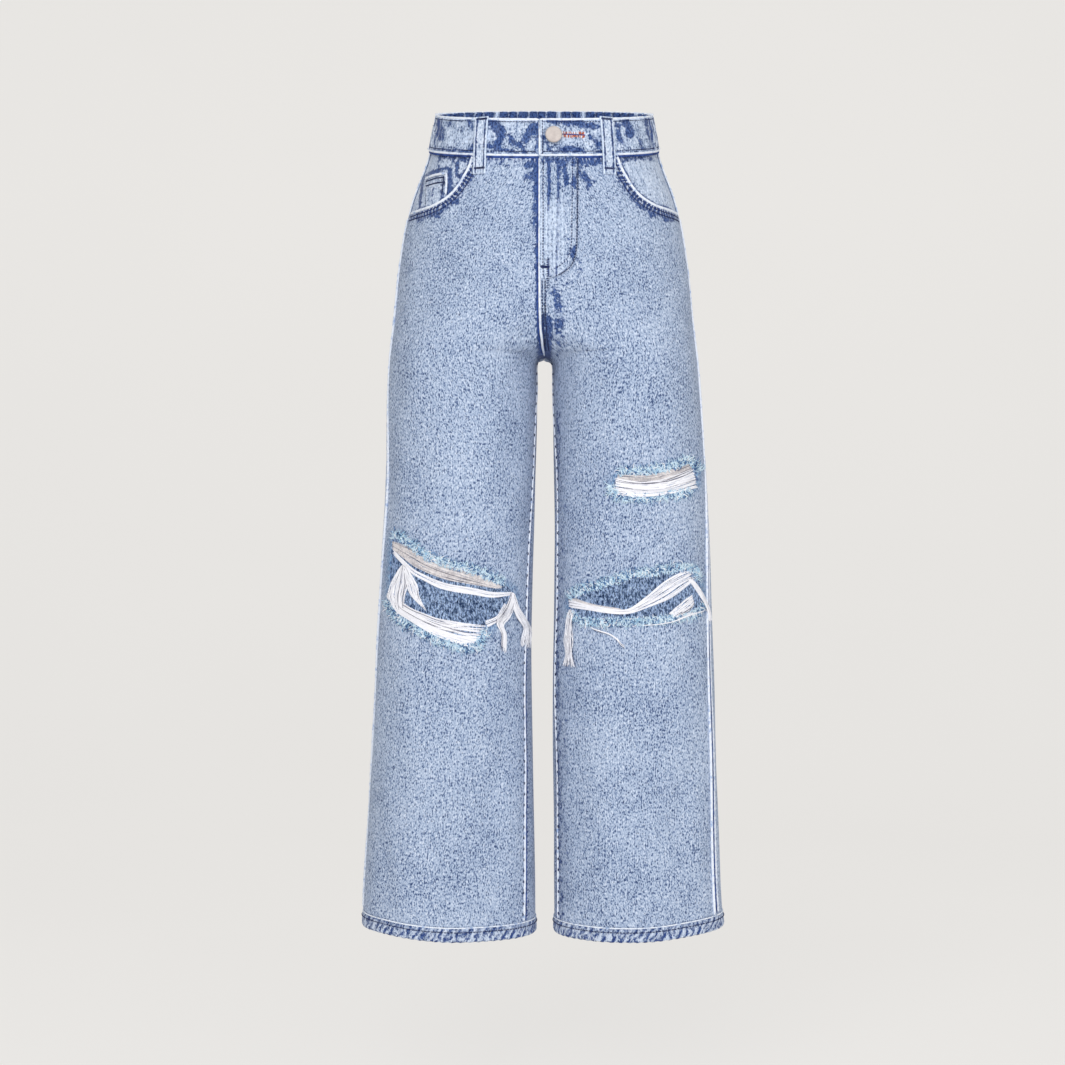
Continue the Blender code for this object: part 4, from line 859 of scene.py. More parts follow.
@dataclass
class Workshop:
    """Turns grids and lines into finished pieces on the garment."""

    finishes: Finishes
    seed: int = 11

    def __post_init__(self) -> None:
        """Start the seeded chance that every piece draws from."""
        self.chance = np.random.default_rng(self.seed)

    def finish(self, item: Item, *names: str) -> Item:
        """Give a piece its materials and its body, and report it."""
        for name in names:
            item.data.materials.append(self.finishes.made[name])
        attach(item, "root")
        LOG.info("%s: %d faces", item.name, len(item.data.polygons))
        return item

    def cloth(self, name: str, points: Array, normals: Array, uv: Array, paint: Paint,
              thickness: float, finishes: Sequence[str], holes: Optional[Array]) -> Item:
        """A piece of cloth from a grid of points.

        Args:
            name: The piece's name.
            points: Rows by columns of points, in millimetres.
            normals: The outward direction at each.
            uv: The place of each on the flat cloth, in millimetres.
            paint: The fields of its finish.
            thickness: Of the cloth, inwards from the points.
            finishes: The outer finish and the inner one.
            holes: Whether each grid cell is cut out.

        Returns:
            The finished object.
        """
        rows, columns = points.shape[:2]
        maker = bmesh.new()
        bmesh.ops.create_grid(maker, x_segments=columns - 1, y_segments=rows - 1, size=0.5)
        mesh = mesh_of(name, maker)
        flat = np.empty(len(mesh.vertices) * 3)
        mesh.vertices.foreach_get("co", flat)
        place = flat.reshape(-1, 3)[:, :2] + 0.5
        column, row = np.rint(place * (columns - 1, rows - 1)).astype(int).T
        mesh.vertices.foreach_set("co", (points[row, column] * MM).ravel())
        corner = np.empty(len(mesh.loops), dtype=int)
        mesh.loops.foreach_get("vertex_index", corner)
        layer = mesh.uv_layers.new(name="cloth")
        layer.data.foreach_set("uv", (uv[row, column] * MM)[corner].ravel())
        for title, value in vars(paint).items():
            data = mesh.attributes.new(title, "FLOAT", "POINT").data
            spread = np.broadcast_to(value, (rows, columns))[row, column]
            data.foreach_set("value", np.ascontiguousarray(spread, dtype=np.float32))
        mesh.update()
        facing = np.empty(len(mesh.polygons) * 3)
        mesh.polygons.foreach_get("normal", facing)
        corners = corner.reshape(-1, 4)
        outward = normals[row[corners[:, 0]], column[corners[:, 0]]]
        if (facing.reshape(-1, 3) * outward).sum() < 0:
            mesh.flip_normals()
        if holes is not None and holes.any():
            cut = np.flatnonzero(holes[row[corners].min(axis=1), column[corners].min(axis=1)])
            maker = bmesh.new()
            maker.from_mesh(mesh)
            maker.faces.ensure_lookup_table()
            bmesh.ops.delete(maker, geom=[maker.faces[i] for i in cut], context="FACES")
            maker.to_mesh(mesh)
            maker.free()
        item = linked(name, smoothed(mesh))
        wall = item.modifiers.new("wall", "SOLIDIFY")
        wall.thickness, wall.offset, wall.use_even_offset = thickness * MM, -1.0, False
        wall.material_offset = 1
        return self.finish(item, *finishes)

    def sheet(self, name: str, points: Array, normals: Array, place: tuple[Number, Number],
              paint: Paint, held: str, rests_on: Sequence[str] = (), thickness: float = CLOTH,
              finishes: Sequence[str] = ("denim_face", "denim_inside"), base: Optional[Array] = None,
              holes: Optional[Array] = None) -> Item:
        """A piece of cloth that takes its solid's place, reported with the size of its cut.

        Args:
            name: The name of its solid.
            points: Rows by columns of points, in millimetres.
            normals: The outward direction at each.
            place: Where each lies on the flat cloth: across and in height.
            paint: The fields of its finish.
            held: What holds its shape; not used.
            rests_on: The solids that it hangs from or lies on; not used.
            thickness: Of the cloth, inwards from the points.
            finishes: The outer finish and the inner one.
            base: The points that its cut is measured on, if not its own.
            holes: Whether each grid cell is cut out.

        Returns:
            The finished object.
        """
        uv = np.stack(np.broadcast_arrays(*place), axis=2)
        item = self.cloth(f"cloth_{name}", points, normals, uv, paint, thickness, finishes, holes)
        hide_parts(name)
        width, length, area = flat_size(points if base is None else base,
                                        None if holes is None else ~holes)
        LOG.info("%s: cut %.0f x %.0f mm, %.0f square cm", item.name, width, length, area / 100)
        return item

    def tubes(self, name: str, paths: Sequence[Array], radii: Union[float, Sequence[Number]],
              finish: str, sides: int = 4) -> Item:
        """Many thin round strands as one mesh.

        Args:
            name: The piece's name.
            paths: The points of each strand, in millimetres.
            radii: One radius, or that of each strand or of each of its points.
            finish: The name of its finish.
            sides: 4, 6 or 8 sides round.

        Returns:
            The finished object.
        """
        curve = bpy.data.curves.new(name, "CURVE")
        curve.dimensions = "3D"
        curve.bevel_depth = MM
        curve.bevel_resolution = (sides - 4) // 2
        curve.use_fill_caps = True
        for path, radius in zip(paths, [radii] * len(paths) if isinstance(radii, float) else radii):
            spline = curve.splines.new("POLY")
            spline.points.add(len(path) - 1)
            whole = np.concatenate([path * MM, np.ones((len(path), 1))], axis=1)
            spline.points.foreach_set("co", whole.ravel())
            spline.points.foreach_set("radius", np.broadcast_to(radius, len(path)).astype(float))
        maker = linked(name, curve)
        graph = bpy.context.evaluated_depsgraph_get()
        mesh = bpy.data.meshes.new_from_object(maker.evaluated_get(graph))
        bpy.data.objects.remove(maker, do_unlink=True)
        mesh.name = name
        return self.finish(linked(name, smoothed(mesh)), finish)

    def seam_edges(self, name: str, runs: Sequence[tuple[Line, float, float, float, float]],
                   finish: str = "seam_worn") -> Item:
        """Rounded worn edges of folded cloth that lie along lines, as one mesh.

        Args:
            name: The piece's name.
            runs: Each line with its aside shift, lift, width and crown.
            finish: The name of its finish.

        Returns:
            The finished object.
        """
        paths, radii = [], []
        for line, aside, lift, width, crown in runs:
            points, *_ = line.frame(lift + crown - width / 2, aside)
            order = np.arange(len(points))
            rough = 1 + 0.10 * np.sin(order * 1.9) * np.sin(order * 0.37)
            rough[[0, -1]] = 0.35
            paths.append(points)
            radii.append(rough * width / 2)
        return self.tubes(name, paths, radii, finish, 8)

    def stitches(self, name: str, runs: Sequence[tuple[Line, float, float]], pitch: float = 3.3,
                 length: float = 2.5, radius: float = 0.44) -> Item:
        """Rows of sewn stitches, each a short arc of thread that dips into the cloth at its ends.

        Args:
            name: The piece's name.
            runs: Each line with its aside shift and its lift over the cloth.
            pitch: From one stitch to the next.
            length: Of a stitch.
            radius: Of the thread.

        Returns:
            The finished object.
        """
        paths = []
        rise = np.array([-0.45, 0.2, 0.2, -0.45])
        shares = np.array([0.0, 0.22, 0.78, 1.0])
        for line, aside, lift in runs:
            points, normal, _ = line.frame(lift, aside)
            lengths = lengths_along(points)
            for start in np.arange(0.6, lengths[-1] - length, pitch):
                wanted = start + shares * length
                out = unit(read_rows(wanted, lengths, normal))
                paths.append(read_rows(wanted, lengths, points) + out * rise[:, None])
        # the thread's dark tone is partly painted shade of the needle holes
        return self.tubes(name, paths, radius, "thread_navy_and_hole_shade")


def along_seams(points: Array, seams: Sequence[tuple[Array, float, float]]) -> tuple[Array, Array]:
    """The distance along and from the nearest of several seams, for a grid of points.

    Args:
        points: Rows by columns of points.
        seams: Each seam's points, with what is added to its distance and how much it counts.

    Returns:
        Two grids: distance along the nearest seam, and distance from it.
    """
    shape = points.shape[:2]
    spots = points.reshape(-1, 3)
    away, along = np.full(len(spots), FAR_OFF), np.zeros(len(spots))
    for line, add, scale in seams:
        low, high = line.min(axis=0) - 26, line.max(axis=0) + 26
        near = ((spots > low) & (spots < high)).all(axis=1)
        if not near.any():
            continue
        far, run, _ = nearest_on(line, spots[near])
        far = far * scale + add
        closer = far < away[near]
        places = np.flatnonzero(near)[closer]
        away[places], along[places] = far[closer], run[closer]
    return along.reshape(shape), away.reshape(shape)


Stroke = tuple[Places, float, float]


def mirrored(*strokes: Stroke) -> tuple[Stroke, ...]:
    """Strokes and their images on the other side."""
    return (*strokes, *(([(-x, z) for x, z in places], *rest) for places, *rest in strokes))


def brushed(points: Array, strokes: Sequence[Stroke]) -> Array:
    """How strongly brush strokes, given in front or back view, cover a grid of points.

    Args:
        points: Rows by columns of points.
        strokes: Each stroke's places across and in height, its width and its strength.

    Returns:
        A grid of strengths.
    """
    spots = points.reshape(-1, 3)[:, (0, 2)]
    total = np.zeros(len(spots))
    for places, width, strength in strokes:
        line = np.asarray(places, float)
        low, high = line.min(axis=0) - 3 * width, line.max(axis=0) + 3 * width
        near = ((spots > low) & (spots < high)).all(axis=1)
        if near.any():
            far, *_ = nearest_on(line, spots[near])
            total[near] = np.maximum(total[near], strength * bell(far, width))
    return total.reshape(points.shape[:2])


# ---------------------------------------------------------------- rips
@dataclass(frozen=True)
class Bundle:
    """Bare yarns that run between two guides, given in the photograph's pixels."""

    first: Places
    last: Places
    count: int
    stand: tuple[float, float, float] = (-0.6, 0.6, -0.6)
    radius: float = 0.42
    groups: int = 0
    stray: float = 0.5
    gather: tuple[float, float, float] = (0.95, 0.75, 0.5)
    ragged: float = 0.06
    finish: str = "yarn_white"


@dataclass(frozen=True)
class RipSpec:
    """One rip: its outline, its bare yarns, and the edges that are frayed."""

    name: str
    node: str
    side: int
    outline: Places
    upper: tuple[float, float]
    lower: tuple[float, float]
    bundles: Sequence[Bundle]


RIPS = (
    RipSpec("right_knee", "rip_knee_right", -1, KNEE_RIP_RIGHT, (0.0, 0.33), (0.5, 0.83), (
        Bundle([(391, 541), (413, 549), (431, 559), (451, 566), (470, 571.5), (488, 579),
               (503, 587)], [(392, 549), (411, 564), (424, 571), (438, 577), (452, 581),
               (472, 584.5), (500, 589)], 42, (-0.6, -0.2, -0.6), 0.5, 6, 0.35, (0.9, 0.62, 0.8),
               0.05, finish="yarn_grey"),
        Bundle([(393, 549), (411, 566.5), (424, 574), (437, 580), (451, 584.5), (472, 588),
               (492, 592), (512, 592)], [(393, 554), (411, 573), (424, 581), (437, 587.5),
               (451, 591), (472, 594.5), (492, 598), (512, 595)], 14, (0.0, 1.4, 0.6), 0.5, 2, 0.3,
               (0.9, 0.62, 0.8), 0.03),
        Bundle([(389, 588), (398, 599), (411, 608), (424, 613.5), (436, 618), (451, 621),
               (468, 623), (489, 624)], [(387, 596), (396, 611), (411, 621), (431, 633), (445, 639),
               (458, 643), (470, 647), (484, 650)], 56, (0.3, 1.2, 0.0), 0.52, 9, 0.3,
               (0.98, 0.9, 0.75), 0.16),
        Bundle([(402, 565), (397, 574), (392, 586), (391, 598), (395, 610)], [(405, 565),
               (407, 574), (409, 584), (405, 596), (404, 611)], 34, (0.4, 2.0, 0.8), 0.55, 0, 0.4),
        Bundle([(403, 565), (405, 573), (407, 583), (410, 594), (423, 607)], [(406, 566),
               (412, 574), (418, 585), (420, 597), (427, 612)], 26, (0.6, 1.8, 0.4), 0.5, 0, 0.5),
        Bundle([(511, 592), (506, 604), (500, 614), (495, 622), (500, 634), (499, 651)],
               [(514, 594), (513, 606), (508, 617), (502, 625), (505, 636), (505, 654)], 24,
               (0.6, 2.2, 2.0), 0.48, 0, 0.6, (1, 1, 1), 0.12),
        Bundle([(511, 592), (512, 606), (517, 618), (522, 628), (521, 636), (519, 646)],
               [(514, 593), (518, 606), (524, 617), (529, 629), (529, 638), (528, 649)], 24,
               (0.6, 2.2, 2.0), 0.48, 0, 0.6, (1, 1, 1), 0.12),
        Bundle([(504, 603), (500, 610), (494, 617), (484, 621)], [(509, 606), (505, 614),
               (498, 621), (487, 627)], 12, (0.6, 1.2, 0.4), 0.5),
    )),
    RipSpec("left_thigh", "rip_thigh_left", 1, THIGH_RIP_LEFT, (0.0, 0.42), (0.52, 0.94), (
        Bundle([(615, 474), (632, 475), (650, 475), (668, 471), (692, 463)], [(615, 480),
               (632, 482), (650, 483), (668, 480), (694, 469)], 20, (-0.5, 0.0, -0.5), 0.5, 3, 0.25,
               (0.95, 0.85, 0.9), 0.04, finish="yarn_grey"),
        Bundle([(615, 478), (632, 481), (650, 481.5), (668, 478), (694, 468)], [(615, 494),
               (632, 496), (652, 496), (674, 494), (698, 488)], 46, (0.0, 0.7, 0.0), 0.52, 5, 0.25,
               (0.98, 0.92, 0.72), 0.04),
    )),
    RipSpec("left_knee", "rip_knee_left", 1, KNEE_RIP_LEFT, (0.0, 0.44), (0.52, 0.96), (
        Bundle([(569, 600), (589, 604), (606, 608), (628, 609), (645, 597), (662, 582), (678, 573),
               (690, 570)], [(569, 607), (589, 610), (606, 613), (628, 613.5), (648, 608),
               (668, 600), (682, 590), (694, 580)], 26, (0.2, 1.2, 0.2), 0.5, 4, 0.35,
               (1.0, 0.72, 0.36), 0.04),
        Bundle([(568, 596), (580, 600), (600, 606), (622, 609)], [(568, 602), (580, 605),
               (600, 610), (622, 611)], 10, (-0.4, 0.2, 0.0), 0.5, finish="yarn_grey"),
        Bundle([(692, 595), (684, 600), (676, 607), (668, 614)], [(694, 604), (690, 609),
               (682, 614), (674, 618)], 22, (0.4, 1.6, 0.8), 0.5, 0, 0.8),
        Bundle([(687, 579), (697, 593), (705, 608), (708, 622)], [(692, 579), (701, 592),
               (708, 607), (711, 620)], 14, (0.4, 2.0, 1.6), 0.5, 0, 0.5),
        Bundle([(570, 609), (567.5, 624), (568, 640), (568.5, 652), (564, 666)], [(575, 610),
               (573.5, 624), (574, 640), (573.5, 652), (578, 668)], 26, (0.4, 2.6, 2.6), 0.44, 0,
               1.0),
        Bundle([(588, 620), (591, 627), (600, 630.5), (610, 633.5), (617, 638), (621, 643),
               (626, 647)], [(589, 621), (592, 628), (601, 632), (610, 635), (617, 640),
               (620.5, 645), (625.5, 649)], 4, (0.6, 2.0, 1.6), 0.5, 0, 0.2),
        Bundle([(640, 625), (656, 624), (673, 621), (689, 615), (705, 610)], [(640, 625.5),
               (656, 624.5), (673, 621.5), (689, 615.5), (705, 610.5)], 2, (0.6, 1.6, 1.0), 0.42, 0,
               0.3),
    )),
)


@dataclass
class Rip:
    """A rip in a front panel: the ragged outline, bare yarns and short frays round it."""

    spec: RipSpec
    shop: Workshop

    def __post_init__(self) -> None:
        """Draw the ragged outline from the smooth one."""
        chance = np.random.default_rng(abs(hash_of(self.spec.name)))
        curve = curve_through(self.spec.outline, 10, closed=True)
        wave = np.cumsum(chance.normal(0, 0.5, len(curve)))
        wave -= np.linspace(0, wave[-1], len(wave))
        kernel = np.exp(-np.linspace(-2, 2, 7) ** 2)
        wave = np.convolve(np.tile(wave, 3), kernel / kernel.sum(), "same")[len(curve):2 * len(curve)]
        wave -= np.convolve(np.tile(wave, 3), np.ones(31) / 31, "same")[len(curve):2 * len(curve)]
        fine = chance.normal(0, 0.22, len(curve))
        ahead = unit(np.roll(curve, -1, axis=0) - np.roll(curve, 1, axis=0))
        self.outward = np.stack([-ahead[:, 1], ahead[:, 0]], axis=1)
        self.outline = curve + self.outward * (np.clip(wave * 0.7, -1.6, 1.6) + fine)[:, None]

    def stood(self, paths: Sequence[Array]) -> list[Array]:
        """Paths over the cloth, from paths across, in height and in how far they stand off."""
        x, z, stand = np.concatenate(paths).T
        points, _ = FORM.lifted(FORM.find(FRONT, x, z), stand)
        return np.split(points, np.cumsum([len(path) for path in paths])[:-1])

    def yarns(self) -> list[Item]:
        """The bare yarns, bundle by bundle, one piece for each finish."""
        chance = self.shop.chance
        groups: dict[str, tuple[list[Array], list[Array]]] = {}
        for bundle in self.spec.bundles:
            first = curve_through(FORM.seen(bundle.first), 5)
            last = curve_through(FORM.seen(bundle.last), 5)
            whole = evenly(len(first))
            paths, radii = groups.setdefault(bundle.finish, ([], []))
            for number in range(bundle.count):
                begin, finish = chance.uniform(0, 0.03), 1 - chance.uniform(0, bundle.ragged)
                run = np.linspace(begin, finish, len(first))
                share = np.full(len(run), (number + chance.uniform(0.1, 0.9)) / bundle.count)
                if bundle.groups:
                    middle = (np.floor(share * bundle.groups) + 0.5) / bundle.groups
                    share = middle + (share - middle) * np.interp(run, (0, 0.5, 1), bundle.gather)
                share = share + 0.05 * np.sin(run * chance.uniform(3, 9) + chance.uniform(0, 6))
                near, far = (read_rows(run, whole, guide) for guide in (first, last))
                places = near + (far - near) * np.clip(share, 0, 1)[:, None]
                arch = np.sin(whole * math.pi)
                curl = np.sin(run[:, None] * chance.uniform(4, 11, 2) + chance.uniform(0, 6, 2))
                places = places + chance.normal(0, bundle.stray, 2) * curl * arch[:, None] ** 0.5
                start, middle_stand, end = bundle.stand
                stand = np.interp(run, [0, 0.12, 0.5, 0.88, 1], [
                    start, (start + middle_stand) / 2, middle_stand, (end + middle_stand) / 2, end])
                stand = stand + chance.uniform(-0.5, 0.9) * arch
                swell = bundle.radius * chance.uniform(0.8, 1.25)
                store = (paths, radii)
                # one yarn in ten becomes a thin dark strand: painted shadow between the yarns
                if chance.random() < 0.10:
                    store = groups.setdefault("yarn_shade", ([], []))
                    stand, swell = stand + 0.25, swell * 0.6
                store[0].append(np.column_stack([places, stand]))
                store[1].append(swell * (1 - 0.35 * np.abs(2 * whole - 1) ** 4))
        return [self.shop.tubes(f"{self.spec.name}_{finish}", self.stood(paths), radii, finish)
                for finish, (paths, radii) in groups.items()]

    def frays(self) -> None:
        """Curly ends of cut yarn, blue and white, along the rip's upper and lower edges."""
        chance = self.shop.chance
        line = np.concatenate([self.outline, self.outline[:1]])
        lengths = lengths_along(line)
        outward = np.concatenate([self.outward, self.outward[:1]])
        groups: dict[str, tuple[list[Array], list[Array]]] = {}
        count = 6
        for start, end in (self.spec.upper, self.spec.lower):
            for place in np.arange(start * lengths[-1], end * lengths[-1], 0.22):
                spot, away = (read_rows(place, lengths, rows) for rows in (line, outward))
                kind = "yarn_" + chance.choice(["blue"] * 8 + ["indigo"] * 3 + ["white"])
                inwards = chance.random() < 0.25
                length = chance.uniform(2.5, 4.5) if inwards else chance.uniform(3.5, 9.0)
                heading = math.atan2(away[1], away[0]) + chance.normal(0, 0.4) + math.pi * inwards
                bends = heading + np.linspace(0, chance.normal(0, 1.6), count - 1)
                steps = np.stack([np.cos(bends), np.sin(bends)], axis=1) * length / (count - 1)
                root = spot + away * (chance.uniform(0, 1.5) if inwards else chance.uniform(-1.2, 4.4))
                path = root + np.concatenate([[[0.0, 0.0]], np.cumsum(steps, axis=0)])
                along = evenly(count)
                stand = -0.1 + chance.uniform(0.7, 2.1) * np.sin(along * math.pi * 0.8)
                paths, radii = groups.setdefault(kind, ([], []))
                paths.append(np.column_stack([path, stand]))
                radii.append(chance.uniform(0.38, 0.68) * (1 - 0.45 * along))
        for kind, (paths, radii) in sorted(groups.items()):
            self.shop.tubes(f"{self.spec.name}_ends_{kind[5:]}", self.stood(paths), radii, kind)

    def build(self) -> None:
        """All yarns of the rip; they stand for the rip's solid."""
        made = self.yarns()
        self.frays()
        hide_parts(self.spec.node)


def hash_of(words: str) -> int:
    """A number for a name that is the same on every run."""
    return sum((i + 1) * ord(letter) for i, letter in enumerate(words))


# ---------------------------------------------------------------- leg panels
def row_heights(top: float, bottom: float, cell: float = 3.0) -> Array:
    """Heights of a leg panel's rows, closer together round the crotch."""
    heights = list(np.arange(top, bottom + cell / 2, -cell)) + [bottom]
    fine = [CROTCH + d for d in (8.2, 6.6, 5.2, 4.0, 2.9, 2.0, 1.2, 0.6, 0.2, 0.0,
                                 -0.15, -0.6, -1.4, -2.5, -4.0, -5.8, -7.8)]
    low, high = min(fine) - 1.5, max(fine) + 1.5
    return np.array(sorted([h for h in heights if not low < h < high] + fine, reverse=True))


FRONT_SHADE = (
    ([(-9, -44), (-9, -80), (-8, -120)], 6.0, 0.7), ([(-8, -120), (-8, -180), (-7, -236)], 4.0, 0.6),
    ([(-16, -44), (-15, -70)], 9.0, 0.55), ([(-60, -44), (-20, -43)], 4.0, 0.45),
    ([(34, -46), (60, -44)], 7.0, 0.78), ([(38, -56), (46, -72)], 8.0, 0.6),
    ([(-48, -46), (-34, -52)], 6.0, 0.5),
    # these two strokes: painted shade along the inner edge of the wearer's left leg, where it turns
    # away from the light, over the seam's own indigo
    ([(14, -300), (12, -440), (13, -560), (15, -700), (17, -836)], 5.0, 0.46),
    ([(20, -330), (19, -440), (20, -560), (22, -700), (25, -836)], 9.0, 0.30),
    ([(60, -48), (76, -54)], 6.0, 0.6), ([(-74, -46), (-78, -58)], 6.0, 0.55),
    *mirrored(([(78, -56), (86, -70), (97, -84), (112, -94), (130, -96)], 9.0, 0.75)),
    # the first stroke here: painted shade just above the crotch, between the legs
    ([(0, -212), (0, -226), (0, -239)], 11.0, 0.8), ([(12, -176), (14, -206), (16, -236)], 9.0, 0.52),
    ([(30, -150), (40, -190)], 14.0, 0.3), ([(14, -176), (26, -172), (36, -160)], 5.0, 0.45),
)
CROSSING = {
    FRONT: ((POCKET_MOUTH, -2.0, 1.0), ([(6, -42), (40, -41), (74, -38)], 1.0, 1.2)),
    BACK: (([(1, -63), (60, -48), (118, -35)], 1.0, 1.3), ([(1, -66), (1, -140), (1, -205)], 1.0, 1.4)),
}
"""seams across a panel's left half: places, what is added to their distance, how it counts"""

FRONT_WEAR = (([(-104, -78), (-96, -110)], 14.0, 0.12), ([(98, -82), (94, -112)], 14.0, 0.14))
BACK_SHADE = (
    ([(0, -20), (0, -90), (0, -160), (0, -235)], 6.0, 0.55),
    *mirrored(([(16, -84), (14, -130), (18, -178)], 5.0, 0.5),
              ([(20, -196), (66, -212), (112, -196)], 6.0, 0.6),
              ([(10, -66), (60, -52), (120, -40)], 6.0, 0.55)),
)


@dataclass
class LegPanel:
    """One front or back leg panel, with its rips or pocket mouth cut out of it."""

    side: int
    view: View
    shop: Workshop
    rips: Sequence[Rip] = ()
    columns: int = 92

    @property
    def name(self) -> str:
        """The panel's name, the same as its solid's."""
        return f"{self.view.name.lower()}_{side_word(self.side)}"

    def grid(self) -> tuple[Array, Array, Array]:
        """Heights and angles of the panel's grid, and its places across the flat cloth."""
        front = self.view is FRONT
        top = PANEL_TOP if front else PANEL_TOP - YOKE_SIDE - 0.3
        heights = row_heights(top, PANEL_BOTTOM)
        shares = evenly(self.columns + 1)
        outer, inner = (FORM.seam(self.side, heights, within) for within in (False, True))
        middle = FORM.edge(self.side, heights, 0.2)
        inner = (np.minimum(middle, inner) if front
                 else np.where(heights > CROTCH, -middle, inner - 360.0))
        angles = FORM.spread(self.side, heights, outer, inner, shares)
        height = np.repeat(heights[:, None], self.columns + 1, axis=1)
        if not front:
            drop = yoke_drop(self.side, height, angles) - YOKE_SIDE
            height = height - drop * smooth(height, -150.0, top)
        base = FORM.point(self.side, height, angles)
        across = np.array([lengths_along(row) for row in base])
        return height, angles, across + (137.0 if front else 411.0) * self.side

    def cut(self, height: Array, angle: Array) -> tuple[Array, Array, Array]:
        """Cut the rips and the pocket mouth: grid points near an outline are moved onto it.

        Args:
            height: The grid's heights.
            angle: The grid's angles.

        Returns:
            The new heights and angles, and which grid cells are cut out.
        """
        points = FORM.point(self.side, height, angle)
        spots = points[..., (0, 2)].reshape(-1, 2)
        holes = np.zeros((height.shape[0] - 1, height.shape[1] - 1), dtype=bool)
        outlines = [rip.outline for rip in self.rips]
        mouth = np.concatenate([curve_through(POCKET_MOUTH, 6), [(220, -89.5), (220, 20), (73.5, 20)]])
        outlines.append(mouth * (self.side, 1))
        height, angle = height.ravel().copy(), angle.ravel().copy()
        shape = points.shape[:2]
        for outline in outlines:
            low, high = outline.min(axis=0) - 6, outline.max(axis=0) + 6
            near = np.flatnonzero(((spots > low) & (spots < high)).all(axis=1))
            within = np.zeros(len(spots), dtype=bool)
            within[near] = inside(outline, spots[near])
            far = np.full(len(spots), FAR_OFF)
            place = spots.copy()
            far[near], _, place[near] = nearest_on(outline, spots[near], closed=True)
            deep = np.where(within, far, -far).reshape(shape)
            corners = [(rows, columns) for rows in (slice(0, -1), slice(1, None))
                       for columns in (slice(0, -1), slice(1, None))]
            gone = sum(deep[corner] for corner in corners) > 0
            holes |= gone
            kept = np.zeros(shape, dtype=bool)
            for corner in corners:
                kept[corner] |= ~gone
            inner = kept & (deep > 0)
            beside = kept & ~inner & (deep > -1.1)
            moved = np.flatnonzero((inner | beside).ravel())
            moved = moved[np.abs(place[moved, 0]) < 190]
            _, level, turn = FORM.find(FRONT, place[moved, 0], place[moved, 1])
            height[moved], angle[moved] = level, turn
        return height.reshape(shape), angle.reshape(shape), holes

    def paint(self, points: Array) -> Paint:
        """The panel's indigo patches, worn places, puckered seams, painted shade along its leg seams,
        and frayed edges with painted shade between their fibres.
        """
        side, front = self.side, self.view is FRONT
        seams = [(Line.down(side, -30, PANEL_BOTTOM, False), 1.0, 1.5),
                 (Line.down(side, CROTCH - 4, PANEL_BOTTOM, True), 0.0, 1.3)]
        seams += [(Line.on(self.view, [(side * x, z) for x, z in places]), add, scale)
                  for places, add, scale in CROSSING[self.view]]
        along, away = along_seams(points, [(line.frame()[0], *rest) for line, *rest in seams])
        shade = brushed(points, FRONT_SHADE if front else BACK_SHADE)
        # painted shade near the leg seams, which run along the leg's turned-away sides, mixed with the
        # seams' own indigo
        seam_indigo_and_edge_shade = np.maximum(0.46 * bell(away - 4, 7.0), 0.27 * bell(away, 24.0)) * (away < 50)
        low = smooth(points[..., 2], -300.0, -420.0)
        wear = brushed(points, FRONT_WEAR)
        if not front:
            wear = wear + 0.5 * bell(np.linspace(0, 300, points.shape[1]), 11.0)
        # painted fibres and painted shade round each rip
        fray = np.zeros(points.shape[:2])
        for rip in self.rips:
            rim = np.concatenate([rip.outline, rip.outline[:1]])
            fray = np.maximum(fray, brushed(points, [(rim, 6.0, 1.0)]))
        return Paint(np.maximum(shade, seam_indigo_and_edge_shade * (1 - 0.15 * low)), wear, along, away + low, fray)

    def build(self) -> Item:
        """The panel, in place of its solid."""
        height, angle, across = self.grid()
        down = height
        holes, above = None, f"yoke_{side_word(self.side)}"
        if self.view is FRONT:
            above = f"waistband_{self.name}"
            height, angle, holes = self.cut(height, angle)
        at = (self.side, height, angle)
        points, normal = FORM.lifted(at, 0.0)
        return self.shop.sheet(self.name, points, normal, (across, down), self.paint(points), "hung",
                               [above], base=FORM.point(*at), holes=holes)


def yoke_drop(side: int, height: Number, angle: Array) -> Array:
    """How far a yoke's foot is below the height where it starts, deeper towards the centre back."""
    share = np.clip(angle / -FORM.edge(side, height, 0.0), 0, 1)
    return YOKE_SIDE + share * (YOKE_CENTRE - YOKE_SIDE)


def yoke_line(side: int, shares: Array) -> tuple[Array, Array]:
    """Angles along a yoke's top at shares of its width, and its drop at each."""
    top = np.array([PANEL_TOP])
    angle = FORM.spread(side, top, FORM.seam(side, top, False), -FORM.edge(side, top, 0.2), shares)[0]
    return angle, yoke_drop(side, PANEL_TOP, angle)


@dataclass
class Yoke:
    """One half of the back yoke, gathered by the elastic above it."""

    side: int
    shop: Workshop
    gathers: int = 8
    depth: float = 1.5

    def build(self) -> Item:
        """The yoke, in place of its solid."""
        share = evenly(97)
        down = evenly(23)[:, None]
        line, drop = yoke_line(self.side, share)
        height = PANEL_TOP - down * drop
        angle = np.maximum(line, -FORM.edge(self.side, height, 0.2))
        wave = np.cos(2 * math.pi * (self.gathers * share + 0.12 * np.sin(share * 17)))
        ends = np.minimum(1, np.minimum(share, 1 - share) * 8)
        swell = self.depth * wave * ends * (1 - down) ** 1.2
        points, normal = FORM.lifted((self.side, height, angle), swell + 0.15)
        along, away = along_seams(points, [(points[0], 0.0, 1.0), (points[-1], 2.0, 1.2)])
        # darker just below the waistband, and painted shade in the troughs of the gathers
        shade = 0.62 * bell(down * 55 - 4, 10) + 0.25 * (wave < -0.3) * (1 - down)
        return self.shop.sheet(f"yoke_{side_word(self.side)}", points, normal,
                               (share * 170 + 700 * self.side, height),
                               Paint(shade, 0.0, along, away), "gathered", ["waistband_back"])


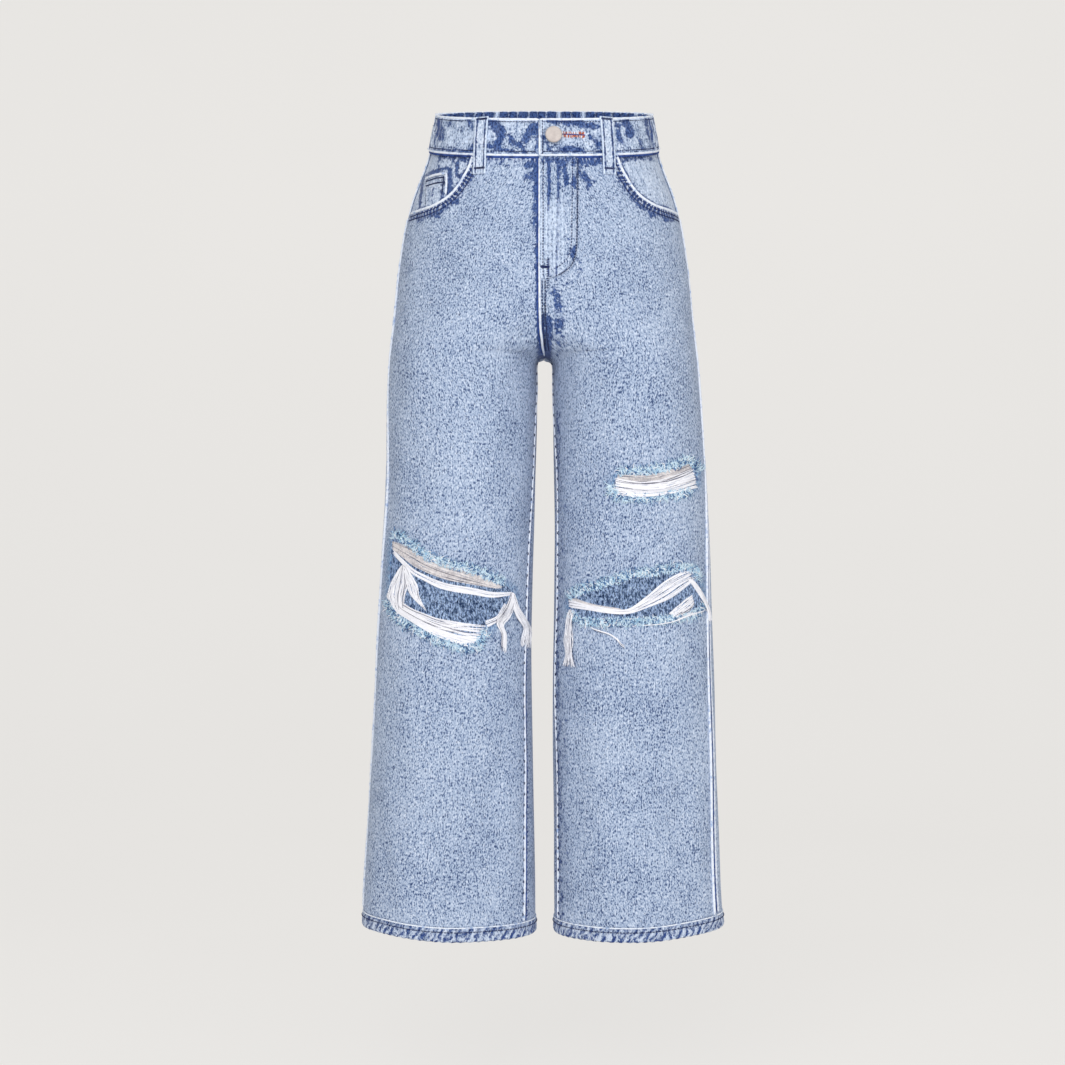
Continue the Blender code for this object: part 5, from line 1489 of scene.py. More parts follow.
# ---------------------------------------------------------------- waistband
BAND_SHADE = {
    -1: (
        ([(-56, 2), (-52, -8), (-46, -16)], 6.5, 0.95), ([(-72, -26), (-76, -34)], 3.5, 0.7),
        ([(-26, -30), (-22, -37)], 4.0, 0.7), ([(-62, -30), (-40, -36)], 3.5, 0.7),
        ([(-52, -34), (-45, -20)], 5.0, 0.75), ([(-80, 1), (-75, -8)], 4.0, 0.7),
        ([(-20, -24), (-12, -10)], 6.0, 0.85), ([(-8, -33), (-6, -4)], 3.0, 0.7),
        ([(-36, -20), (-33, -27)], 4.0, 0.75), ([(-113, 5), (-109, -14)], 6.0, 0.8),
        ([(-99, -1.9), (-99, -2.1)], 5.0, 0.65), ([(-74, -34), (-88, -35)], 4.0, 0.6),
    ),
    1: (
        ([(22, -5), (36, -7), (52, -11)], 5.5, 0.72), ([(46, -20), (54, -28)], 5.0, 0.66),
        ([(18, -35), (30, -33), (40, -37)], 4.0, 0.75), ([(4, -3), (12, -6)], 5.0, 0.75),
        ([(84, 0), (88, -14)], 6.0, 0.82), ([(108, 5), (112, -12)], 6.0, 0.8),
        ([(75, -6), (78, -24)], 4.0, 0.75), ([(1, -24), (4, -36)], 4.0, 0.7),
        ([(98, -18), (101, -28)], 4.0, 0.6),
    ),
}


@dataclass
class Waistband:
    """The two front lengths of waistband, the gathered back one, and their edges and stitches."""

    shop: Workshop
    gathers: int = 27
    gather_depth: float = 2.3

    def half_front(self, side: int, heights: Array, shares: Array) -> Array:
        """Angles of a front length at shares from its lapped end to the side seam."""
        lap = FORM.across(side, heights, -5.9 if side > 0 else 6.2)
        return FORM.spread(side, heights, lap, FORM.seam(side, heights, False), shares)

    def round_back(self, heights: Array, count: int) -> tuple[Array, Array, Array]:
        """Side, height and angle of a grid from the left seam round the back to the right one."""
        left, right = (FORM.spread(side, heights, FORM.seam(side, heights, False),
                                   np.full(len(heights), -90.0), evenly(count))
                       for side in (1, -1))
        angle = np.concatenate([left, right[:, -2::-1]], axis=1)
        side = np.where(np.arange(angle.shape[1]) < count, 1.0, -1.0)
        return tuple(np.broadcast_arrays(side, heights[:, None], angle))

    def waves(self, whole: Array, down: Number) -> tuple[Array, Array]:
        """The wave of the gathers at shares along and down the back, and how far it stands out."""
        wave = np.cos(2 * math.pi * (self.gathers * whole + 0.22 * np.sin(whole * 23)
                                     + 0.12 * np.sin(whole * 61 + down * 2)))
        ends = np.minimum(1, np.minimum(whole, 1 - whole) * 26)
        sewn_flat = 1 - 0.35 * bell(np.abs(down - 0.5) - 0.22, 0.05)
        rise = np.sign(wave) * np.abs(wave) ** 0.8
        return wave, BAND_PROUD + self.gather_depth * rise * ends * sewn_flat

    def front(self, side: int) -> Item:
        """A front length: smooth by the button, puckered towards the elastic."""
        across, down = evenly(61), evenly(15)[:, None]
        height = BAND_TOP - BAND_HEIGHT * down
        angle = self.half_front(side, height[:, 0], across)
        edge = np.clip(np.minimum(down, 1 - down) / 0.07, 0, 1)
        near_side = smooth(across, 0.62, 0.95)
        ripple = 0.9 * near_side * np.cos(2 * math.pi * 11 * across + 0.5 * np.sin(down * 5 + 1))
        soft = 0.35 * np.sin(across * 19 + down * 4 + side)
        lift = BAND_PROUD - 0.9 * (1 - edge) ** 2 + (ripple + soft) * edge
        if side < 0:
            lift = lift - 1.0 * (1 - smooth(across, 0.02, 0.16))
        points, normal = FORM.lifted((side, height, angle), lift, creased=False)
        x, z = points[..., 0], points[..., 2]
        up = (1 - down) * BAND_HEIGHT
        shade = brushed(points, BAND_SHADE[side])
        shade = np.maximum(shade, 0.49 * bell(up - 3.5, 3.0))
        worn = 0.46 + 0.2 * np.sin(x * 0.31 + 1) * np.sin(z * 0.22) ** 2
        wear = 0.5 * (bell(up, 1.6) + bell(down * BAND_HEIGHT, 1.6))
        wear = wear + worn * np.clip(1 - 1.6 * shade, 0, 1)
        return self.shop.sheet(f"waistband_front_{side_word(side)}", points, normal,
                               (across * 125 + 900 + 200 * side, height),
                               Paint(shade, wear, across * 118.0, 9.5 - 8.5 * near_side), "stretched",
                               thickness=BAND_CLOTH, finishes=("denim_band", "denim_band"))

    def back(self) -> Item:
        """The elastic back length, gathered into uneven waves."""
        down = evenly(17)[:, None]
        at = self.round_back(BAND_TOP - BAND_HEIGHT * down[:, 0], self.gathers * 6 + 1)
        whole = evenly(at[0].shape[1])
        wave, lift = self.waves(whole, down)
        edge = np.clip(np.minimum(down, 1 - down) / 0.05, 0, 1)
        points, normal = FORM.lifted(at, lift - 0.7 * (1 - edge) ** 2, creased=False)
        # painted shade in the troughs of the gathers; crests paler, partly wear and partly painted
        # highlight
        paint = Paint(0.95 * smooth(-wave, -0.15, 0.55), 0.75 * smooth(wave, 0.25, 0.9))
        return self.shop.sheet("waistband_back", points, normal, (whole * 460, at[1]), paint,
                               "gathered", thickness=BAND_CLOTH,
                               finishes=("denim_gathers", "denim_gathers"))

    def line(self, side: int, height: float, first: float = 0.0) -> Line:
        """A line along a front length at a height, from a share of its length."""
        angle = self.half_front(side, np.array([height]), np.linspace(first, 1.0, 60))[0]
        return Line.at(side, height, angle)

    def trim(self) -> list[Item]:
        """Worn edges at the top, the foot and the lapped end, and the rows of stitches."""
        edges, sewn, dark = [], [], []
        on_band = BAND_PROUD + 0.2
        for side in SIDES:
            edges += [(self.line(side, BAND_TOP - 0.6), 0.0, BAND_PROUD - 1.2, 3.0, 1.3),
                      (self.line(side, BAND_BOTTOM + 0.4), 0.0, BAND_PROUD - 0.6, 2.5, 1.2)]
            dark.append((self.line(side, BAND_BOTTOM - 1.6), 0.0, 0.4, 2.4, 0.8))
            sewn += [(self.line(side, height, 0.02), 0.0, on_band)
                     for height in (BAND_TOP - 3.4, BAND_BOTTOM + 4.0)]
        height = np.linspace(BAND_TOP - 1, BAND_BOTTOM + 0.5, 14)
        lap, beside = (Line.at(1, height, FORM.across(1, height, x)) for x in (-5.4, -2.6))
        edges.append((lap, 0.0, BAND_PROUD - 0.9, 2.4, 1.2))
        sewn.append((beside, 0.0, on_band))
        return [self.shop.seam_edges("waistband_edges", edges),
                self.shop.seam_edges("waistband_foot_shadow", dark, "seam_valley"),
                self.shop.stitches("waistband_stitches", sewn, pitch=3.0, length=2.2)]

    def back_trim(self) -> list[Item]:
        """Worn top and foot of the gathered back and its stitches, following its waves."""
        def run(height: float, stand: float) -> Array:
            side, level, angle = (grid[0] for grid in self.round_back(np.array([height]), 170))
            whole = evenly(len(angle))
            _, lift = self.waves(whole, (BAND_TOP - height) / BAND_HEIGHT)
            return FORM.lifted((side, level, angle), lift + stand, creased=False)[0]

        stitches = []
        for height in (BAND_TOP - 12.5, BAND_BOTTOM + 12.5):
            points = run(height, 0.35)
            lengths = lengths_along(points)
            stitches += [read_rows(start + np.array([0, 0.5, 1.8, 2.3]), lengths, points)
                         for start in np.arange(1.0, lengths[-1] - 3, 3.4)]
        edges = [run(BAND_TOP - 0.3, -0.3), run(BAND_BOTTOM + 0.3, 0.2)]
        return [self.shop.tubes("waistband_back_edges", edges, 1.1, "seam_worn", 6),
                self.shop.tubes("waistband_back_stitches", stitches, 0.34, "thread_navy_and_hole_shade")]

    def build(self) -> None:
        """The whole waistband."""
        for side in SIDES:
            self.front(side)
        self.back()
        self.trim()
        self.back_trim()


# ---------------------------------------------------------------- pieces laid on the panels
@dataclass
class Patches:
    """The pieces that lie on the panels: facings, coin pocket, fly, back pockets, belt loops."""

    shop: Workshop

    def laid(self, name: str, view: View, x: Array, z: Array, lift: Number, thickness: float,
             finish: str, paint: Paint, rests_on: str) -> Item:
        """A piece that lies on the cloth at the places of a grid."""
        points, normal = FORM.lifted(FORM.find(view, x, z), lift)
        return self.shop.sheet(name, points, normal, (x + 1300 + hash_of(name) % 97, z), paint, "laid",
                               [rests_on], thickness, (finish, "denim_inside"))

    def facing(self, side: int) -> Item:
        """The cloth that shows in a pocket mouth."""
        heights = np.arange(PANEL_TOP, -128.0, -3.0)
        shares = np.linspace(0.0, 0.64, 46)
        outer, inner = (FORM.seam(side, heights, within) for within in (False, True))
        inner = np.minimum(FORM.edge(side, heights, 0.2), inner)
        angle = FORM.spread(side, heights, outer, inner, shares)
        points, normal = FORM.lifted((side, heights[:, None], angle), -CLOTH - LAY)
        mouth = [(side * x, z) for x, z in POCKET_MOUTH]
        strokes = [(mouth, 4.5, 0.75), ([(side * 76, -42), (side * 110, -34)], 5.0, 0.6)]
        if side < 0:
            strokes += [([(-99, -50), (-99, -80)], 3.5, 0.85), ([(-129, -46), (-131, -84)], 3.0, 0.7),
                        ([(-126, -49), (-102, -48)], 3.0, 0.75), ([(-92, -44), (-90, -58)], 3.5, 0.7),
                        ([(-112, -38), (-111, -46)], 3.0, 0.6)]
        dark = brushed(points, strokes)
        along, away = along_seams(points, [(Line.on(FRONT, mouth).frame(-2.0)[0], 5.0, 1.2)])
        return self.shop.sheet(f"pocket_facing_{side_word(side)}", points, normal,
                               (shares * 200 + 2100 * side, heights[:, None]),
                               Paint(dark, 0.40 * (1 - dark), along, away), "laid",
                               [f"front_{side_word(side)}"], finishes=("denim_pale", "denim_inside"))

    def bar_tack(self, view: View, start: Sequence[float], end: Sequence[float], reach: float,
                 lean: float, lift: float) -> list[Array]:
        """Thirteen short stitches across the way from start to end, seen from the front or back."""
        start, end = np.asarray(start), np.asarray(end)
        flat = np.ptp((start[0], end[0])) > np.ptp((start[1], end[1]))
        first, last = ((0, -reach), (lean, reach)) if flat else ((-reach, 0), (reach, lean))
        spots = [start + (end - start) * share for share in evenly(13)]
        return [Line.on(view, [spot + first, spot + last], 0.8).frame(lift)[0] for spot in spots]

    def coin_pocket(self) -> None:
        """The small pocket on the right facing, with its folded top and double stitches."""
        left, right, top = -126.0, -102.5, -54.0
        mouth = curve_through(POCKET_MOUTH, 6)
        across, down = np.meshgrid(evenly(14), evenly(16))
        x = left + (right - left) * across
        foot = np.interp(-x, mouth[:, 0], mouth[:, 1]) + 1.0
        z = top + (foot - top) * down
        edge = np.minimum(1, np.minimum(1 - across, down) * 8)
        shade = 0.45 * brushed(np.stack([x, x, z], 2), [([(-104, -60), (-108, -84)], 4.0, 1.3),
                                                        ([(-116, -68), (-118, -88)], 3.0, 1.0)])
        paint = Paint(shade, 0.55 * (1 - edge) ** 2, z, 8.0)
        self.laid("coin_pocket", FRONT, x, z, -CLOTH + 0.9 * edge, 0.9, "denim_pale", paint,
                  "pocket_facing_right")
        rim = Line.on(FRONT, [(left, top), (-114, top + 0.6), (right, top)])
        flank = Line.on(FRONT, [(right, top), (right + 0.3, -66), (right - 0.2, -77)])
        self.shop.seam_edges("coin_pocket_edges", [(rim, 0, 0.1, 2.7, 0.9), (flank, 0, 0.1, 2.4, 0.8)])
        rows = [[(left + 1, top - d), (-114, top - d + 0.5), (right - 1, top - d)] for d in (4.0, 9.5)]
        rows.append([(right - 3, top - 2), (right - 3, -66), (right - 4.5, -77)])
        self.shop.stitches("coin_pocket_stitches", [(Line.on(FRONT, row), 0.0, 0.1) for row in rows],
                           pitch=2.6, length=2.2, radius=0.6)

    def fly(self) -> None:
        """The fly, creased down its length, with its worn edge and curved double stitching."""
        top, bottom, curve, edge_x, width = -42.0, -168.0, 34.0, -5.7, 38.7
        across, down = np.meshgrid(evenly(28), evenly(60))
        down = np.sin(down * math.pi / 2) ** 0.85
        z = top + (bottom - top) * down
        into = np.maximum(0.0, bottom + curve - z) / curve
        x = edge_x + (8.0 + (width - 8.0) * np.sqrt(np.maximum(0, 1 - into**2))) * across
        bend = 0.9 * np.sin(z * 0.045)
        troughs = (0.9 * bell(x - 3.6 - bend, 1.6) * smooth(z, -160, -120)
                   + 0.8 * bell(x - 13.2 + bend, 1.8) * smooth(z, -165, -140)
                   + 0.5 * bell(x - 20.5 - bend, 1.6) * smooth(z, -100, -60))
        rim = np.clip((1 - across) * 12, 0, 1)
        shade = brushed(np.stack([x, x, z], 2), [
            # the strokes at x 3.6 and 12.6, and those near the foot at x 3.4 and 12: painted shade in
            # the fly's creases; the rest are indigo patches
            ([(3.6, -44), (4.2, -74), (3.4, -100)], 2.4, 0.85),
            ([(12.6, -46), (13.4, -80), (12.8, -150)], 1.7, 0.8),
            ([(0, -44), (10, -46), (30, -44)], 6.0, 0.66), ([(20, -50), (22, -72)], 4.5, 0.6),
            ([(14, -50), (15, -74)], 3.0, 0.55), ([(28, -50), (31, -74)], 4.5, 0.58),
            ([(3.4, -150), (4.6, -165)], 2.4, 0.9), ([(12, -156), (10, -166)], 3.2, 0.6),
            ([(27.5, -146), (30, -136)], 2.6, 0.8), ([(24, -128), (27, -150)], 3.0, 0.35)])
        wear = 0.62 * smooth(z, -66, -96) * (1 - smooth(x, 16, 27))
        wear = np.clip((wear + 0.18 * np.sin(x * 1.5) * smooth(z, -60, -90)) * 0.8, 0, 1)
        self.laid("fly", FRONT, x, z, LAY + rim * (CLOTH - troughs + 0.5 * bell(x - 8.4, 2.6)), 1.2,
                  "denim_face", Paint(shade, wear, z, 40.0), "front_left")
        centre = Line.on(FRONT, [(-5.4, -43), (-5.6, -90), (-5.7, -150), (-5.4, -200), (-3.6, -228),
                                      (-0.8, -239)])
        self.shop.seam_edges("fly_edge", [(centre, 0.0, 0.9, 2.5, 1.2)])
        self.shop.seam_edges("fly_edge_shadow", [(centre, 2.2, 0.0, 1.8, 0.6)], "seam_valley")
        on_fly = LAY + CLOTH
        rows = [
            ([(28.0, -44), (27.6, -80), (27.2, -108), (26.6, -132), (22.5, -148), (12.0, -157.5),
              (3.0, -160)], on_fly),
            ([(33.6, -44), (33.2, -80), (32.6, -112), (31.6, -138), (26.8, -155), (14.0, -164.5),
              (3.0, -167)], on_fly),
            ([(-1.8, -46), (-2.0, -100), (-2.2, -150), (-2.0, -168)], on_fly + 0.1)]
        rows += [([(shift - 5, -170), (shift - 4.6, -200), (shift - 3, -224), (shift - 0.6, -237)], 0.4)
                 for shift in (2.0, 5.0)]
        self.shop.stitches("fly_stitches", [(Line.on(FRONT, row), 0.0, lift) for row, lift in rows],
                           pitch=3.1, length=1.9, radius=0.52)
        bars = [tick for start, end in (((-4.0, -156.6), (4.0, -157.2)), ((2.6, -150), (2.8, -178)))
                for tick in self.bar_tack(FRONT, start, end, 1.3, 0.4, on_fly + 0.3)]
        self.shop.tubes("fly_bar_tacks", bars, 0.36, "thread_navy_and_hole_shade")

    def back_pocket(self, side: int) -> None:
        """A patch pocket with a pointed foot, a hemmed top and double stitching."""
        name = f"back_pocket_{side_word(side)}"
        middle, top, bottom, half_top, half_bottom, drop = 66.0, -74.0, -178.0, 52.0, 46.0, 16.0

        def place(share: Number, fall: Number) -> tuple[Number, Number]:
            half = half_top + (half_bottom - half_top) * fall
            x = share * half
            foot = bottom - drop * (1 - np.abs(x) / half)
            rim = top - 0.06 * (np.abs(middle + x) - middle)
            return side * (middle + x), rim + (foot - rim) * fall

        across, down = np.meshgrid(np.linspace(-1, 1, 44), evenly(46))
        x, z = place(across, down)
        edge = np.clip(np.minimum(1 - np.abs(across), np.minimum(down, 1 - down)) * 14, 0, 1)
        belly = 0.9 * np.sin(down * math.pi) * np.cos(across * math.pi / 2)
        flat = np.stack([x, 0 * x, z], 2)
        outline = [place(*at) for at in ((-1, 0), (-1, 0.5), (-1, 1), (0, 1), (1, 1), (1, 0.5), (1, 0),
                                         (-1, 0))]
        shade = brushed(flat, [(outline, 8.0, 0.55), ([(side * 24, -92), (side * 108, -90)], 3.0, 0.5)])
        rim = np.array([(a, 0.0, b) for a, b in outline])
        paint = Paint(shade, 0.7 * (1 - edge) + 0.3 * belly, *along_seams(flat, [(rim, 0.0, 1.2)]))
        self.laid(name, BACK, x, z, LAY + CLOTH * edge + belly, CLOTH, "denim_pale", paint,
                  f"back_{side_word(side)}")

        def run(inset: float, level: float = 0.0) -> Line:
            reach, foot = 1 - inset, 1 - inset * 0.45
            falls = (level, 0.35, 0.7, foot)
            knots = [(-reach, fall) for fall in falls] + [(x, foot) for x in (-0.5, 0.0, 0.5)]
            knots += [(reach, fall) for fall in falls[::-1]]
            return Line.on(BACK, [place(*knot) for knot in knots])

        rim = Line.on(BACK, [(side * 14, -71), (side * 66, -74), (side * 118, -77)])
        edges = [(run(0.0), 0.0, 0.8, 2.2, 0.9), (rim, 0.0, 1.6, 2.6, 1.1)]
        self.shop.seam_edges(f"{name}_edges", edges)
        raised = LAY + CLOTH + 0.3
        rows = [(run(0.055), 0.0, LAY + CLOTH), (run(0.16, 0.12), 0.0, raised)]
        rows += [(Line.on(BACK, [place(a, fall) for a in (-0.95, 0.0, 0.95)]), 0.0, raised)
                 for fall in (0.10, 0.15)]
        self.shop.stitches(f"{name}_stitches", rows)

    def loop(self, name: str, view: View, head: tuple[float, float], foot: tuple[float, float]) -> None:
        """A belt loop over the waistband, folded lengthwise, its foot sewn to the cloth below."""
        across, down = np.meshgrid(np.linspace(-0.5, 0.5, 13), evenly(44))

        def place(share: Number, shift: Number) -> tuple[Number, Number]:
            return (head[0] + (foot[0] - head[0]) * share + shift,
                    head[1] + (foot[1] - head[1]) * share)

        x, z = place(down, 13.0 * across)
        band_foot = head[1] - BAND_HEIGHT
        over, low = (BAND_PROUD, 0.1) if view is FRONT else (BAND_PROUD + 2.2, 1.6)
        share = smooth(z, band_foot - 12.0, band_foot - 3.0)
        bulge = 0.7 * np.sin(np.clip((z - band_foot + 4) / 41, 0, 1) * math.pi)
        folded = 0.45 * bell(np.abs(across) - 0.40, 0.09) - 0.25 * bell(across, 0.12)
        ends = np.clip(np.minimum(down, 1 - down) * 14, 0, 1)
        lift = LAY + low + (over - low) * share + 1.9 + (bulge + folded) * ends - 0.6 * (1 - ends)
        wear = 0.95 * bell(np.abs(across) - 0.5, 0.10) + 0.55 * (1 - ends)
        shade = 0.78 * bell(np.abs(across) - 0.31, 0.075)
        under = "waistband_back" if view is BACK else name.replace("belt_loop", "waistband")
        self.laid(name, view, x, z, lift, 1.9, "denim_loop", Paint(shade, wear, z, 12.0), under)
        middle = lift[:, 6]
        rows = []
        for shift in (-4.1, 4.1):
            line = Line.on(view, [place(s, shift) for s in (0.03, 0.35, 0.68, 0.97)], 1.2)
            height = np.interp(evenly(len(line.angle)), down[:, 0], middle)
            rows.append((line, 0.0, height + 0.15))
        self.shop.stitches(f"{name}_stitches", rows, pitch=2.5, length=2.1, radius=0.55)
        bars = [tick for fall in (0.045, 0.90)
                for tick in self.bar_tack(view, place(fall, -5.25), place(fall, 5.25), 1.0, 0.3,
                                          np.interp(fall, down[:, 0], middle) + 0.35)]
        self.shop.tubes(f"{name}_bar_tacks", bars, 0.5, "thread_navy_and_hole_shade")

    def build(self) -> None:
        """Every laid-on piece."""
        for side in SIDES:
            self.facing(side)
        self.coin_pocket()
        self.fly()
        for side in SIDES:
            self.back_pocket(side)
        for name, view, head, foot in (
            ("front_right", FRONT, (-63.6, 0.8), (-67.0, -59.0)),
            ("front_left", FRONT, (62.0, 0.8), (66.0, -59.4)),
            ("back_right", BACK, (-72.0, 38.5), (-74.0, -16.5)),
            ("back_centre", BACK, (0.0, 43.5), (0.0, -11.5)),
            ("back_left", BACK, (72.0, 38.5), (74.0, -16.5)),
        ):
            self.loop(f"belt_loop_{name}", view, head, foot)


# ---------------------------------------------------------------- seams, hems, button
@dataclass
class SeamWork:
    """Pocket mouths, outer and inner leg seams, rise and yoke seams: edges, painted shadow cords,
    stitches.
    """

    shop: Workshop

    def mouths(self) -> None:
        """The rolled edges of both front pocket mouths, and their double stitches."""
        edges, rows = [], []
        for side in SIDES:
            places = [(side * x, z) for x, z in (*POCKET_MOUTH[:-1], (141.5, -89.6))]
            line = Line.on(FRONT, places)
            edges.append((line, 0.0, -0.1, 3.2, 1.3))
            rows += [(line, shift * side, 0.35) for shift in (4.2, 8.4)]
        self.shop.seam_edges("pocket_mouth_edges", edges)
        self.shop.stitches("pocket_mouth_stitches", rows, pitch=2.9, length=2.0)

    def legs(self) -> None:
        """Outer and inner leg seams."""
        edges, shadow_cords, rows = [], [], []
        for side in SIDES:
            hip = Line.down(side, PANEL_TOP - 2, -90.0, False)
            outer = Line.down(side, -92.0, PANEL_BOTTOM + 1, False)
            inner = Line.down(side, CROTCH - 6, PANEL_BOTTOM + 1, True)
            edges += [(hip, 0.6 * side, 0.0, 1.8, 0.7), (outer, 0.4 * side, 0.15, 4.4, 0.6),
                      (outer, 10.6 * side, 0.4, 3.0, 0.9), (inner, -2.8 * side, 0.5, 2.8, 0.8)]
            # painted shadow: dark cords in the ditches of the outer and inner seams
            shadow_cords += [(outer, 6.4 * side, 0.25, 5.2, 0.7), (inner, 0.0, 0.3, 3.0, 0.6)]
            rows.append((inner, -5.2 * side, 0.3))
        self.shop.seam_edges("leg_seam_edges", edges)
        self.shop.seam_edges("leg_seam_valleys", shadow_cords, "seam_valley")
        self.shop.stitches("leg_seam_stitches", rows, pitch=11.5, length=2.2, radius=0.6)

    def rear(self) -> None:
        """The yoke seams and the centre back seam."""
        edges, rows = [], []
        for side in SIDES:
            angle, drop = yoke_line(side, np.linspace(0.01, 0.995, 70))
            line = Line.at(side, PANEL_TOP - drop, angle)
            edges.append((line, 0.0, 0.4, 2.6, 0.9))
            rows += [(line, -shift * side, 0.35) for shift in (3.6, 8.2)]
        centre = Line.on(BACK, [(0.6, -20), (0.6, -80), (0.5, -150), (0.4, -205), (0.3, -232)])
        edges.append((centre, 0.0, 0.3, 2.4, 0.9))
        rows += [(centre, -3.2, 0.35), (centre, -7.0, 0.35)]
        self.shop.seam_edges("yoke_and_rise_edges", edges)
        # painted shadow: a dark cord beside the centre back seam
        self.shop.seam_edges("rise_valley", [(centre, 2.0, 0.0, 1.4, 0.5)], "seam_valley")
        self.shop.stitches("yoke_and_rise_stitches", rows)

    def build(self) -> None:
        """All seams."""
        self.mouths()
        self.legs()
        self.rear()


@dataclass
class Hem:
    """The roped, turned-up hem of one leg."""

    side: int
    shop: Workshop
    pitch: float = 8.6
    depth: float = 0.55
    columns: int = 300

    def ring(self, heights: Array) -> Array:
        """Angles round the leg at each height, starting at the inner seam."""
        start = FORM.seam(self.side, heights, True)
        return FORM.spread(self.side, heights, start, start - 360.0, evenly(self.columns + 1))

    def line(self, up: float) -> Line:
        """A line round the leg at a height over the hem's foot."""
        height = HEM_BOTTOM + up
        return Line.at(self.side, height, self.ring(np.array([height]))[0])

    def build(self) -> None:
        """The hem, in place of its solid, with its worn foot and stitch row."""
        name = f"hem_{side_word(self.side)}"
        down = evenly(10)[:, None]
        height = HEM_BOTTOM + HEM_HEIGHT * (1 - down)
        angle = self.ring(height[:, 0])
        arc = lengths_along(FORM.point(self.side, height[:1], angle[:1])[0])
        turn = arc + 9.0 * down * self.side + 1.2 * np.sin(arc * 0.043) + 0.8 * np.sin(arc * 0.11 + 1)
        wave = np.sin(2 * math.pi * turn / self.pitch)
        edge = np.clip(np.minimum(down, 1 - down) / 0.16, 0, 1)
        lift = 0.9 + self.depth * wave * (0.35 + 0.65 * down) - 0.9 * (1 - edge) ** 2
        points, normal = FORM.lifted((self.side, height, angle), lift, creased=False)
        points[..., 2] += 0.5 * wave * down**3
        paint = Paint(0.31 * (1 - wave), 0.35 * smooth(down, 0.8, 1.0), turn, 1.5 + 5 * (1 - down))
        self.shop.sheet(name, points, normal, (arc + 3000 * self.side, height), paint, "folded",
                        [f"front_{name[4:]}", f"back_{name[4:]}"], thickness=BAND_CLOTH,
                        finishes=("denim_hem", "denim_inside"))
        self.shop.stitches(f"{name}_stitches", [(self.line(10.6), 0.0, 1.35)], pitch=3.4, length=2.4)
        self.shop.seam_edges(f"{name}_lip", [(self.line(HEM_HEIGHT), 0.0, 0.3, 1.5, 0.8)])


@dataclass
class ButtonAndHole:
    """The waist button and its buttonhole."""

    shop: Workshop
    radius: float = 8.6
    cap: float = 2.6
    shank: float = 1.2
    shank_radius: float = 4.2
    rest_lift: float = 2.2

    def button(self) -> None:
        """A turned cap with a soft rim, on a short shank."""
        at = FORM.find(FRONT, [8.8], [-20.3])
        points, normals = FORM.lifted(at, np.array([self.rest_lift]), creased=False)
        r, base, top = self.radius, self.shank, self.shank + self.cap
        profile = [(r * share, top - drop) for share, drop in (
            (0, 0.15), (0.45, 0.12), (0.76, 0.02), (0.86, 0), (0.94, 0.25), (0.99, 0.85), (1, 1.5))]
        profile += [(r * 0.97, base + 0.4), (r * 0.88, base), (self.shank_radius, base),
                    (self.shank_radius, -0.9), (0.0, -0.9)]
        maker = bmesh.new()
        verts = [maker.verts.new((a * MM, 0, b * MM)) for a, b in profile]
        edges = [maker.edges.new(pair) for pair in zip(verts, verts[1:])]
        bmesh.ops.spin(maker, geom=verts + edges, axis=(0, 0, 1), cent=(0, 0, 0), angle=2 * math.pi,
                       steps=56, use_merge=True)
        bmesh.ops.remove_doubles(maker, verts=maker.verts, dist=1e-6)
        bmesh.ops.recalc_face_normals(maker, faces=maker.faces)
        turn = Vector((0, 0, 1)).rotation_difference(Vector(normals[0])).to_matrix().to_4x4()
        bmesh.ops.transform(maker, matrix=turn, verts=maker.verts)
        bmesh.ops.translate(maker, verts=maker.verts, vec=Vector(points[0] * MM))
        item = linked("button", smoothed(mesh_of("button", maker)))
        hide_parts("button")
        self.shop.finish(item, "button_plate")

    def buttonhole(self) -> None:
        """Close zigzag stitches in rust and white round a slit."""
        chance = self.shop.chance
        rust, white = [], []
        start, end = FORM.seen([(560.5, 134.5), (585, 135.5)])
        for share in evenly(30):
            x, z = start + (end - start) * share
            for sign in (-1, 1):
                reach = sign * chance.uniform(2.2, 3.6)
                places = [(x, z + sign * 0.4), (x + chance.normal(0, 0.5), z + reach)]
                path = Line.on(FRONT, places, 1.0).frame(BAND_PROUD + 0.55)[0]
                (rust if chance.random() < 0.55 else white).append(path)
        slit = Line.on(FRONT, [start, end]).frame(BAND_PROUD + 0.5)[0]
        self.shop.tubes("buttonhole_rust", rust, 0.46, "thread_rust")
        self.shop.tubes("buttonhole_white", white, 0.34, "yarn_white")
        # painted shadow: a dark cord in the slit
        self.shop.tubes("buttonhole_slit", [slit], 0.85, "seam_valley")

    def build(self) -> None:
        """The button and its hole."""
        self.button()
        self.buttonhole()


